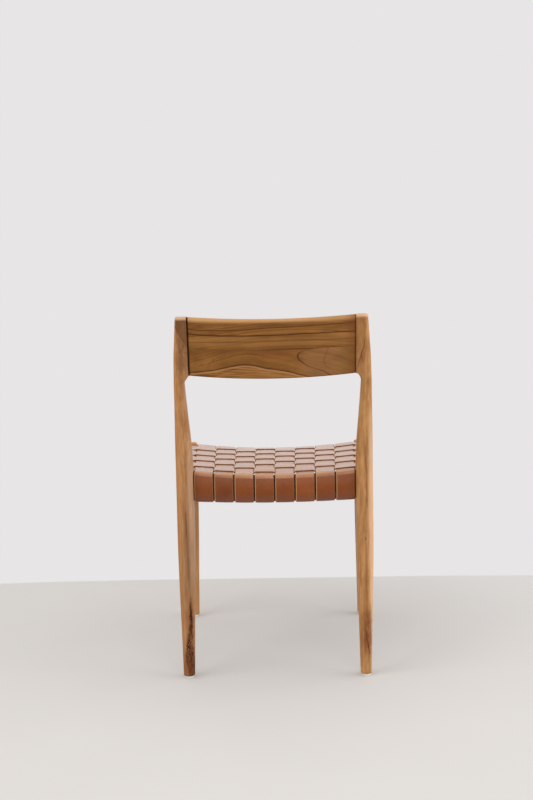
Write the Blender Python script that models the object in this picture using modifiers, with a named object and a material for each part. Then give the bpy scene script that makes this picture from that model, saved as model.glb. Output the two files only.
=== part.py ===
"""A teak dining chair with a seat woven from leather straps.

Metres, +Z up. The chair faces -Y and its sitter's left is +X. The origin is on the floor,
at the middle of the chair's width and depth.
"""
import math

import bmesh
import bpy

# Overall size
overall_width = 0.484
overall_height = 0.800
frame_depth = 0.537
fit_gap = 0.0003
cut_overrun = 0.004
merge_distance = 0.00001

# Rear legs, each one piece from the floor to the top of the back
rear_width = 0.4342
rear_leg_width = 0.0373
rear_leg_depth = 0.044
rear_foot_size = 0.025
rear_foot_rake = 0.024
rear_foot_splay = 0.004
back_rake = 0.059
neck_width = 0.0225
neck_depth = 0.033
neck_inset = 0.0032
stile_top_width = 0.0262
stile_top_depth = 0.030
bracket_rise = 0.0155
leg_soft_radius = 0.0125
leg_joint_radius = 0.0025
top_edge_radius = 0.004
foot_edge_radius = 0.002

# Front legs
front_leg_width = 0.038
front_leg_depth = 0.038
front_foot_size = 0.025
front_foot_splay = 0.0048
front_foot_rake = 0.004
front_leg_rise = 0.006

# Back board, two curved planks glued edge to edge
board_height = 0.1265
board_thickness = 0.022
board_bow = 0.045
board_dip = 0.0062
board_top_drop = 0.001
lower_plank_share = 0.482
board_end_grip = 0.0008
board_top_radius = 0.0075
board_bottom_radius = 0.005
seam_radius = 0.0006

# Seat rails
rail_top = 0.454
rail_height = 0.063
rail_thickness = 0.022
rail_radius = 0.0075
seat_rise = 0.002
rear_rail_inset = 0.019
rear_rail_bow = 0.012
rear_rail_dip = 0.0075
rear_rail_belly = 0.0026
front_rail_inset = 0.012
front_rail_dip = 0.013
side_rail_inset = 0.0048

# Mortise and tenon joints
tenon_thickness = 0.010
tenon_height = 0.044
tenon_radius = 0.0035
tenon_length = 0.0155
side_tenon_length = 0.0175

# Dowels between the back board and the legs
dowel_radius = 0.004
dowel_in_board = 0.014
dowel_in_leg = 0.018

# Leather straps
strap_thickness = 0.0026
strap_gap = 0.004
weave_clearance = 0.0004
weave_crown = 0.006
row_bow = 0.010
row_leg_clearance = 0.002
column_leg_clearance = 0.0025
strap_tail = 0.034
long_strap_count = 8
cross_strap_count = 9

# Foot glides
glide_radius = 0.0095
glide_height = 0.005
glide_edge = 0.001
glide_pocket_floor = 0.0015
nail_shank_radius = 0.0012
nail_head_radius = 0.0032
nail_head_height = 0.001
nail_in_leg = 0.012

# Steps along a rounded corner or edge, round a turned piece and along the board
corner_steps = 3
edge_steps = 2
glide_steps = 16
nail_steps = 10
dowel_steps = 12
board_spans = 10
crease_angle = math.radians(35)

# Finishes: colour, roughness, metallic
teak_leg_finish = ((0.44, 0.22, 0.085, 1.0), 0.55, 0.0)
teak_board_finish = ((0.30, 0.135, 0.05, 1.0), 0.5, 0.0)
teak_rail_finish = ((0.36, 0.18, 0.07, 1.0), 0.6, 0.0)
leather_finish = ((0.24, 0.075, 0.028, 1.0), 0.45, 0.0)
beech_finish = ((0.55, 0.36, 0.2, 1.0), 0.7, 0.0)
nylon_finish = ((0.78, 0.77, 0.74, 1.0), 0.5, 0.0)
steel_finish = ((0.55, 0.55, 0.56, 1.0), 0.35, 1.0)

# Outline of the legs: height share, then how much of the growth or lean is reached there
leg_growth_shares = ((0.0, 0.0), (0.25, 0.33), (0.5, 0.69), (0.75, 0.94), (1.0, 1.0))
foot_lean_shares = (1.0, 0.68, 0.4, 0.16, 0.0)
stile_narrowing_shares = ((0.15, 0.04), (0.35, 0.2), (0.57, 0.49), (0.8, 0.79), (1.0, 1.0))
stile_rake_power = 1.25
stile_outer_shares = ((0.3, 0.26), (0.65, 0.62))

# Places worked out from the sizes above
half_width = overall_width / 2
rear_outer = rear_width / 2
rear_inner = rear_outer - rear_leg_width
front_inner = half_width - front_leg_width
rail_bottom = rail_top - rail_height
board_top = overall_height - board_top_drop
board_bottom = board_top - board_height
neck_z = board_bottom - bracket_rise


def mix(a, b, share):
    return a + (b - a) * share


def stile_rake(z):
    """How far the back of a rear leg lies behind its back at the seat."""
    share = max(0, (z - rail_top) / (overall_height - rail_top))
    return back_rake * share ** stile_rake_power


def stile_depth(z):
    if z <= neck_z:
        share = max(0, (z - rail_top) / (neck_z - rail_top))
        return mix(rear_leg_depth, neck_depth, share)
    return mix(neck_depth, stile_top_depth, (z - neck_z) / (overall_height - neck_z))


def board_lean(z):
    """How far the middle of the board's ends lies behind the backs of the legs at the seat."""
    low = stile_rake(board_bottom) - stile_depth(board_bottom) / 2
    high = stile_rake(board_top) - stile_depth(board_top) / 2
    return mix(low, high, (z - board_bottom) / board_height)


# Places in depth, with the origin half way between the front legs and the bow of the board
board_reach = board_lean(board_top - board_top_radius) + board_bow + board_thickness / 2
overall_depth = frame_depth - back_rake + board_reach
front_leg_front_y = -overall_depth / 2
front_leg_back_y = front_leg_front_y + front_leg_depth
rear_leg_back_y = overall_depth / 2 - board_reach
rear_leg_front_y = rear_leg_back_y - rear_leg_depth
rear_rail_back_y = rear_leg_back_y - rear_rail_inset
rear_rail_front_y = rear_rail_back_y - rail_thickness
front_rail_front_y = front_leg_front_y + front_rail_inset
front_rail_back_y = front_rail_front_y + rail_thickness
side_rail_outer_rear = rear_outer - side_rail_inset
side_rail_outer_front = half_width - side_rail_inset
strap_lift = fit_gap + strap_thickness / 2
weave_lift = (strap_thickness + weave_clearance) / 2
weave_rear_y = rear_rail_front_y + rail_radius
weave_front_y = front_rail_back_y - rail_radius


def clear_scene():
    for obj in list(bpy.data.objects):
        bpy.data.objects.remove(obj, do_unlink=True)


def new_collection(name):
    collection = bpy.data.collections.new(name)
    bpy.context.scene.collection.children.link(collection)
    return collection


def new_material(name, finish):
    colour, roughness, metallic = finish
    material = bpy.data.materials.new(name)
    material.use_nodes = True
    shader = material.node_tree.nodes["Principled BSDF"]
    shader.inputs["Base Color"].default_value = colour
    shader.inputs["Roughness"].default_value = roughness
    shader.inputs["Metallic"].default_value = metallic
    material.diffuse_color = colour
    return material


def object_from_bmesh(name, bm, collection, finish):
    bmesh.ops.recalc_face_normals(bm, faces=bm.faces)
    mesh = bpy.data.meshes.new(name)
    bm.to_mesh(mesh)
    bm.free()
    obj = bpy.data.objects.new(name, mesh)
    collection.objects.link(obj)
    if finish:
        mesh.materials.append(new_material(name, finish))
        mesh.shade_smooth()
        mesh.set_sharp_from_angle(angle=crease_angle)
    return obj


def rounded_outline(low, high, radii):
    """Points round a rectangle from low to high, with one radius for each corner.

    The corners come in the order (low, low), (high, low), (high, high), (low, high).
    """
    signs = ((-1, -1), (1, -1), (1, 1), (-1, 1))
    points = []
    for corner, (sign_a, sign_b) in enumerate(signs):
        radius = radii[corner]
        centre_a = (low[0] + radius) if sign_a < 0 else (high[0] - radius)
        centre_b = (low[1] + radius) if sign_b < 0 else (high[1] - radius)
        start = math.pi + corner * math.pi / 2
        for step in range(corner_steps + 1):
            angle = start + step / corner_steps * math.pi / 2
            points.append((centre_a + radius * math.cos(angle), centre_b + radius * math.sin(angle)))
    return points


def loft(name, rings, collection, finish=None):
    """A closed solid through rings that have the same number of points."""
    bm = bmesh.new()
    levels = [[bm.verts.new(point) for point in ring] for ring in rings]
    count = len(rings[0])
    for lower, upper in zip(levels, levels[1:]):
        for i in range(count):
            j = (i + 1) % count
            bm.faces.new((lower[i], lower[j], upper[j], upper[i]))
    bm.faces.new(levels[0])
    bm.faces.new(levels[-1])
    return object_from_bmesh(name, bm, collection, finish)


def ribbon(name, first_edge, second_edge, collection, finish):
    """A strap between its two edges, thickened about its middle by a Solidify modifier."""
    bm = bmesh.new()
    first = [bm.verts.new(point) for point in first_edge]
    second = [bm.verts.new(point) for point in second_edge]
    for i in range(len(first) - 1):
        bm.faces.new((first[i], first[i + 1], second[i + 1], second[i]))
    obj = object_from_bmesh(name, bm, collection, finish)
    solidify = obj.modifiers.new("leather_thickness", "SOLIDIFY")
    solidify.thickness = strap_thickness
    solidify.offset = 0
    solidify.use_even_offset = True
    return obj


def cylinder(name, radius, start, length, axis, steps, collection, finish=None):
    """A round bar from start along +X or +Z."""
    bm = bmesh.new()
    bmesh.ops.create_cone(bm, cap_ends=True, segments=steps, radius1=radius, radius2=radius, depth=length)
    obj = object_from_bmesh(name, bm, collection, finish)
    middle = list(start)
    middle["xyz".index(axis)] += length / 2
    obj.location = middle
    if axis == "x":
        obj.rotation_euler = (0, math.pi / 2, 0)
    return obj


def turned(name, profile, steps, place, collection, finish):
    """A profile of (radius, height) points turned about the vertical axis."""
    bm = bmesh.new()
    ring = [bm.verts.new((radius, 0, height)) for radius, height in profile]
    for a, b in zip(ring, ring[1:]):
        bm.edges.new((a, b))
    mesh = bpy.data.meshes.new(name)
    bm.to_mesh(mesh)
    bm.free()
    obj = bpy.data.objects.new(name, mesh)
    collection.objects.link(obj)
    mesh.materials.append(new_material(name, finish))
    screw = obj.modifiers.new("turning", "SCREW")
    screw.steps = steps
    screw.render_steps = steps
    screw.use_merge_vertices = True
    screw.merge_threshold = merge_distance
    obj.location = place
    return obj


def cut(obj, cutter):
    boolean = obj.modifiers.new(cutter.name, "BOOLEAN")
    boolean.operation = "DIFFERENCE"
    boolean.solver = "EXACT"
    boolean.object = cutter


def hide_cutter(obj):
    obj.hide_render = True
    obj.display_type = "WIRE"
    return obj


# Legs

def leg_ring(side, z, inner, outer, front, back, radii, inset=0):
    """One level of a leg. Radii are for inner front, outer front, outer back, inner back."""
    low = (inner + inset, front + inset)
    high = (outer - inset, back - inset)
    smallest = min(high[0] - low[0], high[1] - low[1]) / 2
    kept = [min(max(radius - inset, seam_radius), smallest) for radius in radii]
    return [(side * x, y, z) for x, y in rounded_outline(low, high, kept)]


def blended_radii(joint_radii, foot_size, growth):
    """Round at the foot and squarer at the joints."""
    return [mix(foot_size / 2, radius, growth ** 2) for radius in joint_radii]


def rear_leg_levels():
    """Height, inner and outer face, front and back face and corner radii, from the floor up."""
    joint_radii = (leg_joint_radius, leg_soft_radius, leg_soft_radius, leg_soft_radius)
    levels = []
    for (height_share, growth), lean in zip(leg_growth_shares, foot_lean_shares):
        z = mix(glide_height, rail_bottom, height_share)
        inner = rear_inner + rear_foot_splay * (1 - growth)
        outer = inner + mix(rear_foot_size, rear_leg_width, growth)
        back = rear_leg_back_y + rear_foot_rake * lean
        front = back - mix(rear_foot_size, rear_leg_depth, growth)
        levels.append((z, inner, outer, front, back, blended_radii(joint_radii, rear_foot_size, growth)))
    levels.append((rail_top, rear_inner, rear_outer, rear_leg_front_y, rear_leg_back_y, joint_radii))
    for height_share, narrowing in stile_narrowing_shares:
        z = mix(rail_top, neck_z, height_share)
        outer = rear_outer - neck_inset * narrowing
        inner = outer - mix(rear_leg_width, neck_width, narrowing)
        back = rear_leg_back_y + stile_rake(z)
        inner_radius = mix(leg_soft_radius, leg_soft_radius / 2, narrowing)
        radii = (inner_radius, leg_soft_radius, leg_soft_radius, inner_radius)
        levels.append((z, inner, outer, back - stile_depth(z), back, radii))
    return levels


def stile_top_levels():
    """The part of the rear leg that stands beside the back board."""
    inner = rear_inner - board_end_grip
    neck_outer = rear_outer - neck_inset
    top_outer = inner + stile_top_width
    outer_radius = leg_soft_radius * stile_top_width / rear_leg_width
    radii = (leg_joint_radius, outer_radius, outer_radius, leg_joint_radius)
    top_side_z = overall_height - top_edge_radius
    heights = [board_bottom]
    outers = [mix(neck_outer, top_outer, bracket_rise / (overall_height - neck_z))]
    for height_share, lean in stile_outer_shares:
        heights.append(mix(board_bottom, top_side_z, height_share))
        outers.append(mix(neck_outer, top_outer, lean))
    heights.append(top_side_z)
    outers.append(top_outer)
    levels = []
    for z, outer in zip(heights, outers):
        back = rear_leg_back_y + stile_rake(z)
        levels.append((z, inner, outer, back - stile_depth(z), back, radii))
    return levels


def edge_levels(side, level, height, radius):
    """Rings that round over the end of a leg at the given height."""
    z, inner, outer, front, back, radii = level
    rings = []
    for step in range(1, edge_steps + 1):
        angle = step / edge_steps * math.pi / 2
        level_z = z + (height - z) * math.sin(angle)
        inset = radius * (1 - math.cos(angle))
        rings.append(leg_ring(side, level_z, inner, outer, front, back, radii, inset))
    return rings


def leg_rings(side, levels, top_z, end_radius):
    """All rings of a leg, with a rounded foot and a rounded top."""
    first = levels[0]
    foot_side = (glide_height + foot_edge_radius,) + first[1:]
    rings = list(reversed(edge_levels(side, foot_side, glide_height, foot_edge_radius)))
    rings.append(leg_ring(side, *foot_side))
    rings.extend(leg_ring(side, *level) for level in levels[1:])
    rings.extend(edge_levels(side, levels[-1], top_z, end_radius))
    return rings


def make_rear_leg(side, label, parts, cutters):
    levels = rear_leg_levels() + stile_top_levels()
    rings = leg_rings(side, levels, overall_height, top_edge_radius)
    leg = loft("rear_leg_" + label, rings, parts, teak_leg_finish)
    cut(leg, rear_rail_mortise(side, label, cutters))
    cut(leg, side_rail_mortise(side, label, "rear", cutters))
    for plank in ("lower", "upper"):
        cut(leg, dowel_hole(side, label, plank, "leg", cutters))
    cut(leg, nail_hole(side, label, "rear", cutters))


def front_leg_levels():
    joint_radii = (leg_soft_radius, leg_soft_radius, leg_joint_radius, leg_joint_radius)
    levels = []
    for height_share, growth in leg_growth_shares:
        z = mix(glide_height, rail_bottom, height_share)
        inner = front_inner + front_foot_splay * (1 - growth)
        outer = inner + mix(front_foot_size, front_leg_width, growth)
        front = front_leg_front_y + front_foot_rake * (1 - growth)
        back = front + mix(front_foot_size, front_leg_depth, growth)
        levels.append((z, inner, outer, front, back, blended_radii(joint_radii, front_foot_size, growth)))
    top_side_z = rail_top + seat_rise + front_leg_rise - top_edge_radius
    levels.append((top_side_z, front_inner, half_width, front_leg_front_y, front_leg_back_y, joint_radii))
    return levels


def make_front_leg(side, label, parts, cutters):
    top_z = rail_top + seat_rise + front_leg_rise
    rings = leg_rings(side, front_leg_levels(), top_z, top_edge_radius)
    leg = loft("front_leg_" + label, rings, parts, teak_leg_finish)
    cut(leg, front_rail_mortise(side, label, cutters))
    cut(leg, side_rail_mortise(side, label, "front", cutters))
    cut(leg, nail_hole(side, label, "front", cutters))


# Seat rails and their joints

def bowl(x, half):
    """1 in the middle and 0 at the ends of a curved rail."""
    return 1 - min(1, (x / half) ** 2)


def rear_rail_faces(x):
    """Back face, front face, bottom and top of the rear rail at x."""
    rise = bowl(x, rear_inner)
    back = rear_rail_back_y + rear_rail_bow * rise
    bottom = rail_bottom - rear_rail_belly * rise
    return back - rail_thickness, back, bottom, rail_top - rear_rail_dip * rise


def front_rail_faces(x):
    rise = bowl(x, front_inner)
    top = rail_top + seat_rise - front_rail_dip * rise
    return front_rail_front_y, front_rail_back_y, rail_bottom, top


def side_rail_share(y):
    return (rear_leg_front_y - y) / (rear_leg_front_y - front_leg_back_y)


def side_rail_faces(y):
    """Inner face, outer face, bottom and top of a side rail at y."""
    share = side_rail_share(y)
    outer = mix(side_rail_outer_rear, side_rail_outer_front, share)
    return outer - rail_thickness, outer, rail_bottom, rail_top + seat_rise * share


def rail_outline(faces, lift=0):
    """The rounded outline of a rail, grown by lift, as (depth, height) points."""
    low_face, high_face, bottom, top = faces
    radii = [rail_radius + lift] * 4
    return rounded_outline((low_face - lift, bottom - lift), (high_face + lift, top + lift), radii)


def tenon_outline(middle, middle_z, lift=0):
    low = (middle - tenon_thickness / 2 - lift, middle_z - tenon_height / 2 - lift)
    high = (middle + tenon_thickness / 2 + lift, middle_z + tenon_height / 2 + lift)
    return rounded_outline(low, high, [tenon_radius + lift] * 4)


def long_strap_edges(index, inner_half, clearance):
    """The two edges of a front-to-back strap where the frame is inner_half wide."""
    room = 2 * (inner_half - clearance)
    width = (room - strap_gap * (long_strap_count - 1)) / long_strap_count
    low = -room / 2 + index * (width + strap_gap)
    return low, low + width


def all_long_edges(inner_half):
    edges = []
    for index in range(long_strap_count):
        edges.extend(long_strap_edges(index, inner_half, column_leg_clearance))
    return edges


def rail_middle_z():
    return (rail_top + rail_bottom) / 2


def make_cross_rail(name, faces_at, inner_half, parts):
    """A rail across the chair, with a section at each strap edge and a tenon at each end."""
    shoulder = inner_half - fit_gap
    end_faces = faces_at(inner_half)
    tenon = tenon_outline((end_faces[0] + end_faces[1]) / 2, rail_middle_z())
    tip = shoulder + tenon_length
    sections = [(-tip, tenon), (-shoulder, tenon)]
    for x in [-shoulder] + all_long_edges(inner_half) + [shoulder]:
        sections.append((x, rail_outline(faces_at(x))))
    sections += [(shoulder, tenon), (tip, tenon)]
    rings = [[(x, y, z) for y, z in outline] for x, outline in sections]
    loft(name, rings, parts, teak_rail_finish)


def side_tenon_middle(y_face):
    inner, outer, _, _ = side_rail_faces(y_face)
    return (inner + outer) / 2


def make_side_rail(side, label, parts):
    rear_shoulder = rear_leg_front_y - fit_gap
    front_shoulder = front_leg_back_y + fit_gap
    rear_tenon = tenon_outline(side_tenon_middle(rear_leg_front_y), rail_middle_z())
    front_tenon = tenon_outline(side_tenon_middle(front_leg_back_y), rail_middle_z())
    sections = [
        (rear_shoulder + side_tenon_length, rear_tenon),
        (rear_shoulder, rear_tenon),
        (rear_shoulder, rail_outline(side_rail_faces(rear_shoulder))),
        (front_shoulder, rail_outline(side_rail_faces(front_shoulder))),
        (front_shoulder, front_tenon),
        (front_shoulder - side_tenon_length, front_tenon),
    ]
    rings = [[(side * x, y, z) for x, z in outline] for y, outline in sections]
    loft("side_seat_rail_" + label, rings, parts, teak_rail_finish)


def cross_mortise(name, side, faces_at, inner_half, cutters):
    faces = faces_at(inner_half)
    outline = tenon_outline((faces[0] + faces[1]) / 2, rail_middle_z(), fit_gap)
    reach = inner_half + tenon_length + fit_gap
    rings = [[(side * x, y, z) for y, z in outline] for x in (inner_half - cut_overrun, reach)]
    return hide_cutter(loft(name, rings, cutters))


def rear_rail_mortise(side, label, cutters):
    return cross_mortise("cut_rear_rail_" + label, side, rear_rail_faces, rear_inner, cutters)


def front_rail_mortise(side, label, cutters):
    return cross_mortise("cut_front_rail_" + label, side, front_rail_faces, front_inner, cutters)


def side_rail_mortise(side, label, end, cutters):
    face = rear_leg_front_y if end == "rear" else front_leg_back_y
    into_leg = 1 if end == "rear" else -1
    outline = tenon_outline(side_tenon_middle(face), rail_middle_z(), fit_gap)
    ends = (face - into_leg * cut_overrun, face + into_leg * (side_tenon_length + fit_gap))
    rings = [[(side * x, y, z) for x, z in outline] for y in ends]
    return hide_cutter(loft("cut_side_rail_" + end + "_" + label, rings, cutters))


# Back board

def plank_heights(plank):
    seam = board_bottom + board_height * lower_plank_share
    if plank == "lower":
        return board_bottom, seam - fit_gap / 2
    return seam + fit_gap / 2, board_top


def board_end():
    return rear_inner - board_end_grip - fit_gap


def board_slope(x):
    return 2 * board_bow * x / board_end() ** 2


def board_middle_y(x, z):
    return rear_leg_back_y + board_lean(z) + board_bow * bowl(x, board_end())


def plank_ring(x, plank):
    """The plank's outline at x, sheared to lean with the rear legs."""
    bottom, top = plank_heights(plank)
    half = board_thickness / 2 * math.sqrt(1 + board_slope(x) ** 2)
    if plank == "lower":
        radii = (board_bottom_radius, board_bottom_radius, seam_radius, seam_radius)
    else:
        radii = (seam_radius, seam_radius, board_top_radius, board_top_radius)
    outline = rounded_outline((-half, bottom), (half, top), radii)
    drop = board_dip * bowl(x, board_end())
    return [(x, board_middle_y(x, z) + y, z - drop) for y, z in outline]


def dowel_place(plank):
    """Depth and height of a dowel, half way up its plank."""
    bottom, top = plank_heights(plank)
    z = (bottom + top) / 2
    offset = board_slope(board_end()) * dowel_in_board / 2
    return board_middle_y(board_end(), z) + offset, z


def dowel_hole(side, label, plank, into, cutters):
    """A hole for one dowel, in the leg or in the end of the board."""
    y, z = dowel_place(plank)
    if into == "leg":
        start = board_end() - cut_overrun
        end = rear_inner - board_end_grip + dowel_in_leg + fit_gap
    else:
        start = board_end() - dowel_in_board - fit_gap
        end = board_end() + cut_overrun
    low = min(side * start, side * end)
    name = "cut_dowel_" + into + "_" + plank + "_" + label
    hole = cylinder(name, dowel_radius + fit_gap, (low, y, z), end - start, "x", dowel_steps, cutters)
    return hide_cutter(hole)


def make_plank(plank, parts, cutters):
    spans = range(board_spans + 1)
    stations = [mix(-board_end(), board_end(), i / board_spans) for i in spans]
    rings = [plank_ring(x, plank) for x in stations]
    board = loft("back_plank_" + plank, rings, parts, teak_board_finish)
    for side, label in sides:
        cut(board, dowel_hole(side, label, plank, "board", cutters))


def make_dowel(side, label, plank, parts):
    y, z = dowel_place(plank)
    start = board_end() - dowel_in_board
    end = rear_inner - board_end_grip + dowel_in_leg
    low = min(side * start, side * end)
    name = "back_dowel_" + plank + "_" + label
    cylinder(name, dowel_radius, (low, y, z), end - start, "x", dowel_steps, parts, beech_finish)


# Woven seat

def weave_share(y):
    """0 at the rear rail and 1 at the front rail."""
    return (weave_rear_y - y) / (weave_rear_y - weave_front_y)


def weave_z(x, y):
    """Height of the middle of the weave, before a strap goes over or under another."""
    share = min(1, max(0, weave_share(y)))
    rear_middle = rail_top - rear_rail_dip
    front_middle = rail_top + seat_rise - front_rail_dip
    crown = weave_crown * (1 - (2 * share - 1) ** 4)
    middle = mix(rear_middle, front_middle, share) + crown
    edge = rail_top + seat_rise * share
    across = min(1, (x / mix(rear_inner, front_inner, share)) ** 2)
    return mix(middle, edge, across) + strap_lift


def row_edges(index):
    """The rear and front edge of a cross strap where it leaves the side rails."""
    room = rear_leg_front_y - front_leg_back_y - 2 * row_leg_clearance
    width = (room - strap_gap * (cross_strap_count - 1)) / cross_strap_count
    rear = rear_leg_front_y - row_leg_clearance - index * (width + strap_gap)
    return rear, rear - width


def row_y(index, edge, x):
    """A cross strap's edge at x: the rear rows bow back with the rear rail."""
    bow = row_bow * (1 - index / (cross_strap_count - 1))
    half = mix(rear_inner, front_inner, side_rail_share(edge))
    return edge + bow * bowl(x, half)


def column_x(rear_x, front_x, y):
    return mix(rear_x, front_x, min(1, max(0, weave_share(y))))


def is_long_over(column, row):
    """Plain weave: at the right rear corner the cross strap lies on top."""
    return (column + row) % 2 == 1


def wrap_points(outline, tail_height):
    """A strap's path round a rail: up to the top flat, starting from its tail inside.

    The outline starts at the inner bottom corner, and its low side is the inner face.
    """
    corner = corner_steps + 1
    inner_bottom = outline[:corner]
    outer_bottom = outline[corner:2 * corner]
    outer_top = outline[2 * corner:3 * corner]
    inner_top = outline[3 * corner]
    tail = (inner_bottom[0][0], inner_bottom[0][1] + tail_height)
    return [tail] + inner_bottom + outer_bottom + outer_top + [inner_top]


def mirrored_faces(faces):
    """Swaps the inner and the outer face of a rail, so that its inner face is the low one."""
    return -faces[1], -faces[0], faces[2], faces[3]


def long_strap_edge(column, rear_x, front_x):
    """One edge of a front-to-back strap, from its rear tail to its front tail."""
    rear_outline = rail_outline(rear_rail_faces(rear_x), strap_lift)
    path = [(rear_x, y, z) for y, z in wrap_points(rear_outline, strap_tail)]
    edge_margin = (strap_gap - 2 * weave_lift) / 2
    for row in range(cross_strap_count):
        lift = weave_lift if is_long_over(column, row) else -weave_lift
        rear_edge, front_edge = row_edges(row)
        for edge, margin in ((rear_edge, edge_margin), (front_edge, -edge_margin)):
            x = column_x(rear_x, front_x, edge)
            y = row_y(row, edge, x) + margin
            x = column_x(rear_x, front_x, y)
            path.append((x, y, weave_z(x, y) + lift))
    front_outline = rail_outline(mirrored_faces(front_rail_faces(front_x)), strap_lift)
    front_wrap = [(front_x, -y, z) for y, z in wrap_points(front_outline, strap_tail)]
    return path + list(reversed(front_wrap))


def make_long_strap(column, parts):
    rear_edges = long_strap_edges(column, rear_inner, column_leg_clearance)
    front_edges = long_strap_edges(column, front_inner, column_leg_clearance)
    edges = [long_strap_edge(column, rear, front) for rear, front in zip(rear_edges, front_edges)]
    ribbon("long_strap_%d" % (column + 1), edges[0], edges[1], parts, leather_finish)


def side_wrap(side, y):
    """A cross strap's edge round a side rail, from its tail up to the top flat."""
    outline = rail_outline(side_rail_faces(y), strap_lift)
    return [(side * x, y, z) for x, z in wrap_points(outline, strap_tail)]


def cross_strap_edge(row, edge):
    """One edge of a cross strap, from its right tail to its left tail."""
    edge_margin = (strap_gap - 2 * weave_lift) / 2
    path = side_wrap(-1, edge)
    for column in range(long_strap_count):
        lift = -weave_lift if is_long_over(column, row) else weave_lift
        rear_pair = long_strap_edges(column, rear_inner, column_leg_clearance)
        front_pair = long_strap_edges(column, front_inner, column_leg_clearance)
        for (rear_x, front_x), margin in zip(zip(rear_pair, front_pair), (-edge_margin, edge_margin)):
            x = column_x(rear_x, front_x, edge) + margin
            y = row_y(row, edge, x)
            x = column_x(rear_x, front_x, y) + margin
            path.append((x, y, weave_z(x, y) + lift))
    return path + list(reversed(side_wrap(1, edge)))


def make_cross_strap(row, parts):
    rear_edge, front_edge = row_edges(row)
    name = "cross_strap_%d" % (row + 1)
    ribbon(name, cross_strap_edge(row, rear_edge), cross_strap_edge(row, front_edge), parts, leather_finish)


# Foot glides

def foot_middle(end):
    """Depth and distance from the middle of the chair of a foot's centre."""
    if end == "rear":
        x = rear_inner + rear_foot_splay + rear_foot_size / 2
        y = rear_leg_back_y + rear_foot_rake - rear_foot_size / 2
    else:
        x = front_inner + front_foot_splay + front_foot_size / 2
        y = front_leg_front_y + front_foot_rake + front_foot_size / 2
    return x, y


def nail_hole(side, label, end, cutters):
    x, y = foot_middle(end)
    low = (side * x, y, glide_height - cut_overrun)
    length = cut_overrun + nail_in_leg + fit_gap
    radius = nail_shank_radius + fit_gap
    hole = cylinder("cut_nail_" + end + "_" + label, radius, low, length, "z", nail_steps, cutters)
    return hide_cutter(hole)


def make_glide(side, label, end, parts):
    """A round foot moulded round the head of its nail."""
    x, y = foot_middle(end)
    top = glide_height - fit_gap
    pocket_radius = nail_head_radius + fit_gap
    pocket_top = glide_pocket_floor + nail_head_height + 2 * fit_gap
    hole_radius = nail_shank_radius + fit_gap
    glide_profile = (
        (0, glide_pocket_floor),
        (pocket_radius, glide_pocket_floor),
        (pocket_radius, pocket_top),
        (hole_radius, pocket_top),
        (hole_radius, top),
        (glide_radius, top),
        (glide_radius, glide_edge),
        (glide_radius - glide_edge, 0),
        (0, 0),
    )
    place = (side * x, y, 0)
    turned("foot_glide_" + end + "_" + label, glide_profile, glide_steps, place, parts, nylon_finish)
    head_bottom = glide_pocket_floor + fit_gap
    head_top = head_bottom + nail_head_height
    nail_profile = (
        (0, glide_height + nail_in_leg),
        (nail_shank_radius, glide_height + nail_in_leg),
        (nail_shank_radius, head_top),
        (nail_head_radius, head_top),
        (nail_head_radius, head_bottom),
        (0, head_bottom),
    )
    turned("glide_nail_" + end + "_" + label, nail_profile, nail_steps, place, parts, steel_finish)


sides = ((1, "left"), (-1, "right"))


def main():
    clear_scene()
    parts = new_collection("teak_leather_chair")
    cutters = new_collection("chair_cutters")
    for side, label in sides:
        make_rear_leg(side, label, parts, cutters)
        make_front_leg(side, label, parts, cutters)
        make_side_rail(side, label, parts)
        for end in ("rear", "front"):
            make_glide(side, label, end, parts)
        for plank in ("lower", "upper"):
            make_dowel(side, label, plank, parts)
    make_cross_rail("rear_seat_rail", rear_rail_faces, rear_inner, parts)
    make_cross_rail("front_seat_rail", front_rail_faces, front_inner, parts)
    for plank in ("lower", "upper"):
        make_plank(plank, parts, cutters)
    for column in range(long_strap_count):
        make_long_strap(column, parts)
    for row in range(cross_strap_count):
        make_cross_strap(row, parts)


main()
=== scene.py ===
"""The looks of a teak dining chair whose seat is woven from leather straps.

Metres, +Z up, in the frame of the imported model: the chair faces -Y, its sitter's left is +X and the
origin is on the floor. The photograph looks at it from behind, so +X is on the photograph's left.
"""
import math
import random

import bmesh
import bpy
from mathutils import Matrix, Vector


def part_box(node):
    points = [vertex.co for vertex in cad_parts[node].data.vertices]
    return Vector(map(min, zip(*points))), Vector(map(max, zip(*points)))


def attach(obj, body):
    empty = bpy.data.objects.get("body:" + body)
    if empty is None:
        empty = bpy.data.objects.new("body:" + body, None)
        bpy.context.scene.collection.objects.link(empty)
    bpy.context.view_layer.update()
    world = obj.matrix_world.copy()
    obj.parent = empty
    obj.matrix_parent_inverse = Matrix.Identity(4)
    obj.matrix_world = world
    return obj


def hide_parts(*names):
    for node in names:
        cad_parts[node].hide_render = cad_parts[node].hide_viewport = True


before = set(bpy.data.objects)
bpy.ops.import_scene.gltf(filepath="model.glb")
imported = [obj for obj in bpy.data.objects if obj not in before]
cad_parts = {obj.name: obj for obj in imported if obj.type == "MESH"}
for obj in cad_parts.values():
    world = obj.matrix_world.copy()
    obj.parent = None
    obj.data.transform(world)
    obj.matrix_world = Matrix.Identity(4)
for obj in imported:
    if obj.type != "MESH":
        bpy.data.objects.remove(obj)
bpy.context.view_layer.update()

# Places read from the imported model
rear_leg_low, rear_leg_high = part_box("rear_leg_left")
front_leg_low, front_leg_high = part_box("front_leg_left")
rear_rail_low, rear_rail_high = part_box("rear_seat_rail")
front_rail_low, front_rail_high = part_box("front_seat_rail")
_, upper_plank_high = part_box("back_plank_upper")
glide_low, glide_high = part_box("foot_glide_rear_left")

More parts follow.
